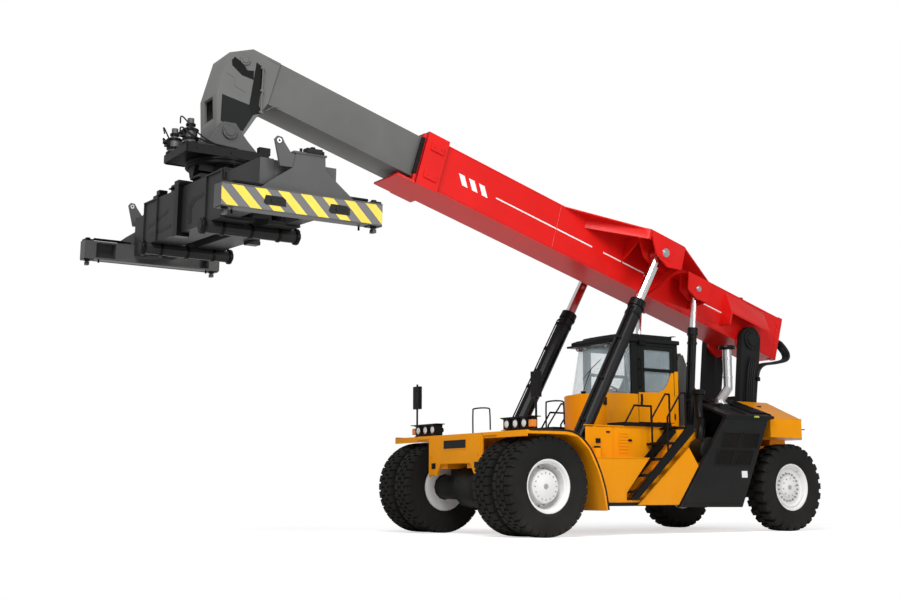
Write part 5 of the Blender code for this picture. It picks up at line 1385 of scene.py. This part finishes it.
def cab_details():
    """Door skin and handle, pillar bars, roof lamps, wipers, visor and nose slots."""
    half = 0.70
    skin, handle = bmesh.new(), bmesh.new()
    # the door's lower part is the body's yellow, with the curved rise at its rear
    outline = [(0.116, 1.99), (0.99, 1.99), (0.99, 2.93), (0.93, 2.93), (0.86, 2.76), (0.76, 2.62), (0.60, 2.545), (0.116, 2.53)]
    prism(skin, ground, "X", (half - 0.004, half + 0.002), outline)
    piece("door_skin", skin, "door", "yellow", bevel=0.002)
    brick(handle, ground, (half + 0.001, half + 0.03), (0.16, 0.19), (2.36, 2.50))
    brick(handle, ground, (half + 0.001, half + 0.012), (0.15, 0.20), (2.30, 2.36))
    brick(handle, ground, (half - 0.012, half + 0.006), (0.112, 0.985), (2.925, 2.985))
    brick(handle, ground, (half - 0.06, half - 0.045), (0.30, 0.34), (2.10, 2.90))
    pipe(handle, smooth_path([ground(half, 0.14, 2.62), ground(half + 0.05, 0.14, 2.66), ground(half + 0.05, 0.14, 3.10),
                              ground(half, 0.14, 3.14)], 4), 0.012, 8)
    piece("door_fittings", handle, "door", "black", bevel=0.003)
    right = bmesh.new()
    brick(right, ground, (-half - 0.006, -half + 0.012), (0.11, 1.0), (2.925, 2.985))
    piece("right_window_bar", right, "chassis", "charcoal", bevel=0.003)
    low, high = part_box("cab_roof")
    lamps_shape, lenses = bmesh.new(), bmesh.new()
    for x in (-0.52, -0.30, 0.30, 0.52):
        spot = ground(x, -0.26, high.z - 0.20)
        rod(lamps_shape, spot + Vector((0, 0.05, 0)), spot - Vector((0, 0.06, 0)), 0.055, 20)
        lathe(lenses, spot - Vector((0, 0.058, 0)), spot - Vector((0, 1, 0)), [(0, 0), (0, 0.05), (0.008, 0.045), (0.012, 0)], 20)
    for _, side in SIDES:
        place = mirrored(ground, side)
        brick(lamps_shape, place, (0.735, 0.765), (0.10, 0.26), (3.40, 3.50))
        brick(lamps_shape, place, (0.60, 0.72), (0.96, 1.06), (high.z - 0.01, high.z))
    brick(lamps_shape, ground, (-0.62, 0.62), (-0.50, -0.30), (3.418, 3.455))
    brick(lamps_shape, ground, (-0.50, 0.50), (0.10, 0.90), (high.z - 0.02, high.z - 0.001))
    piece("roof_lamps", lamps_shape, "chassis", "black", bevel=0.004)
    piece("roof_lamp_lenses", lenses, "chassis", "lens", smooth=40)
    wiper = bmesh.new()
    pipe(wiper, smooth_path([ground(0.10, -0.70, 2.54), ground(0.14, -0.685, 2.66), ground(0.24, -0.62, 2.96)], 5), 0.008, 6)
    pipe(wiper, [ground(0.02, -0.64, 2.78), ground(0.24, -0.62, 2.96), ground(0.40, -0.53, 3.12)], 0.007, 6)
    rod(wiper, ground(0.10, -0.66, 2.53), ground(0.10, -0.74, 2.53), 0.025, 12)
    piece("windshield_wiper", wiper, "chassis", "black", smooth=40)
    nose = bmesh.new()
    for i in range(4):
        place = ground
        x = 0.34 + 0.075 * i
        y = -0.735 + 0.04 * i
        brick(nose, place, (x, x + 0.045), (y - 0.012, y + 0.05), (2.28, 2.42))
    piece("nose_slots", nose, "chassis", "charcoal", bevel=0.006)
    bars = bmesh.new()
    for x in (-0.40, 0.40):
        pipe(bars, [ground(x, 1.085, 2.60), ground(x, 1.085, 3.36)], 0.012, 8)
    piece("rear_window_bars", bars, "chassis", "black", smooth=40)
    inside = bmesh.new()
    brick(inside, ground, (0.30, 0.56), (0.30, 0.34), (2.52, 2.72))
    pipe(inside, smooth_path([ground(0.44, 0.33, 2.30), ground(0.44, 0.32, 2.55)], 3), 0.018, 8)
    brick(inside, ground, (0.36, 0.52), (0.86, 0.92), (3.06, 3.24))
    pipe(inside, [ground(0.44, 0.90, 3.20), ground(0.44, 0.98, 3.40)], 0.012, 8)
    brick(inside, ground, (0.28, 0.36), (0.42, 0.80), (2.50, 2.56))
    rod(inside, ground(0.32, 0.48, 2.55), ground(0.32, 0.46, 2.68), 0.02, 12)
    brick(inside, ground, (-0.62, -0.42), (0.20, 0.96), (1.96, 2.44))
    piece("cab_controls", inside, "chassis", "trim", bevel=0.006)
    brick_shape = bmesh.new()
    brick(brick_shape, ground, (-0.60, 0.60), (-0.34, -0.10), (2.50, 2.56))
    piece("dashboard_top", brick_shape, "chassis", "trim", bevel=0.015)
    panel = bmesh.new()
    brick(panel, ground, (-0.60, 0.60), (1.0, 1.04), (1.96, 2.54))
    piece("cab_back_lining", panel, "chassis", "trim", bevel=0.01)


def cushion(name, x, y, z, lean=0.0, crown=0.03, channels=3):
    """A crowned foam pad: sides pull in between the corners, sewn channels run across it."""
    steps = 18
    shape = bmesh.new()
    size = Vector((x[1] - x[0], y[1] - y[0], z[1] - z[0]))
    centre = Vector(((x[0] + x[1]) / 2, (y[0] + y[1]) / 2, (z[0] + z[1]) / 2))
    grid = {}

    def surface(u, v, side):
        """u across, v along the pad, both -1 to 1; side 1 is the sat-on face."""
        pull = 1 - 0.035 * (1 - v * v) * abs(u) ** 3
        pull_v = 1 - 0.035 * (1 - u * u) * abs(v) ** 3
        edge = (1 - abs(u) ** 6) * (1 - abs(v) ** 6)
        lift = 0.5 * size.z * edge ** 0.3
        if side > 0:
            lift += crown * (1 - u * u) * (1 - v * v)
            for number in range(channels):
                line = -0.6 + 1.2 * number / max(channels - 1, 1)
                lift -= 0.010 * max(0, 1 - abs(v - line) / 0.06) * (abs(u) < 0.86)
            lift -= 0.008 * max(0, 1 - abs(abs(u) - 0.62) / 0.06)
        spot = Vector((u * pull * size.x / 2, v * pull_v * size.y / 2, side * lift))
        spot.rotate(Matrix.Rotation(lean, 3, "X"))
        return centre + spot
    for side in (1, -1):
        for i in range(steps + 1):
            for j in range(steps + 1):
                u, v = -1 + 2 * i / steps, -1 + 2 * j / steps
                rim = i in (0, steps) or j in (0, steps)
                key = (i, j, 0 if rim else side)
                if key not in grid:
                    grid[key] = shape.verts.new(surface(u, v, 1 if rim else side))

    def get(i, j, side):
        return grid[(i, j, 0 if i in (0, steps) or j in (0, steps) else side)]
    for side in (1, -1):
        for i in range(steps):
            for j in range(steps):
                shape.faces.new((get(i, j, side), get(i + 1, j, side), get(i + 1, j + 1, side), get(i, j + 1, side)))
    made = piece(name, shape, "chassis", "fabric", smooth=50)
    rounded = made.modifiers.new("rounded", "SUBSURF")
    rounded.levels = rounded.render_levels = 1
    return made


def seat():
    low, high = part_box("operator_seat")
    middle_y = MID_Y
    cushion_made = cushion("seat_cushion", (-0.25, 0.25), (middle_y + 0.33, middle_y + 0.86), (2.24, 2.36), crown=0.02)
    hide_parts("operator_seat")
    cushion("seat_back", (-0.24, 0.24), (middle_y + 0.60, middle_y + 1.18), (2.60, 2.70), lean=radians(80), crown=0.02)
    for word, side in SIDES:
        cushion(f"armrest_{word}", (side * 0.30 - 0.05, side * 0.30 + 0.05), (middle_y + 0.42, middle_y + 0.80), (2.45, 2.51),
                crown=0.006, channels=0)
    base = bmesh.new()
    brick(base, ground, (-0.21, 0.21), (0.40, 0.82), (1.951, 2.02))
    brick(base, ground, (-0.17, 0.17), (0.44, 0.78), (2.02, 2.20))
    brick(base, ground, (-0.24, 0.24), (0.36, 0.86), (2.20, 2.245))
    for _, side in SIDES:
        place = mirrored(ground, side)
        brick(base, place, (0.25, 0.27), (0.74, 0.80), (2.22, 2.46))
    brick(base, ground, (-0.20, 0.20), (0.93, 0.96), (2.34, 2.90))
    for i in range(5):
        brick(base, ground, (-0.19, 0.19), (0.42, 0.80), (2.04 + 0.03 * i, 2.05 + 0.03 * i))
    piece("seat_base", base, "chassis", "trim", bevel=0.006)


camera()
world(0.20, 0.55)
lamp("key", (12, -14, 20), (0, -1, 3), 16, 5900)
lamp("fill", (22, 4, 8), (0, 0, 3), 10, 1300)
floor(0.62)
frame_parts()
wheels()
boom_details()
boom_hoses()
head_details()
spreader()
cylinders()
deck()
for word, side in SIDES:
    lower_body(word, side)
    side_panels(word, side)
air_filter()
hood()
counterweight()
tower()
cab()
cab_details()
seat()

bpy.context.scene.view_settings.view_transform = "Standard"
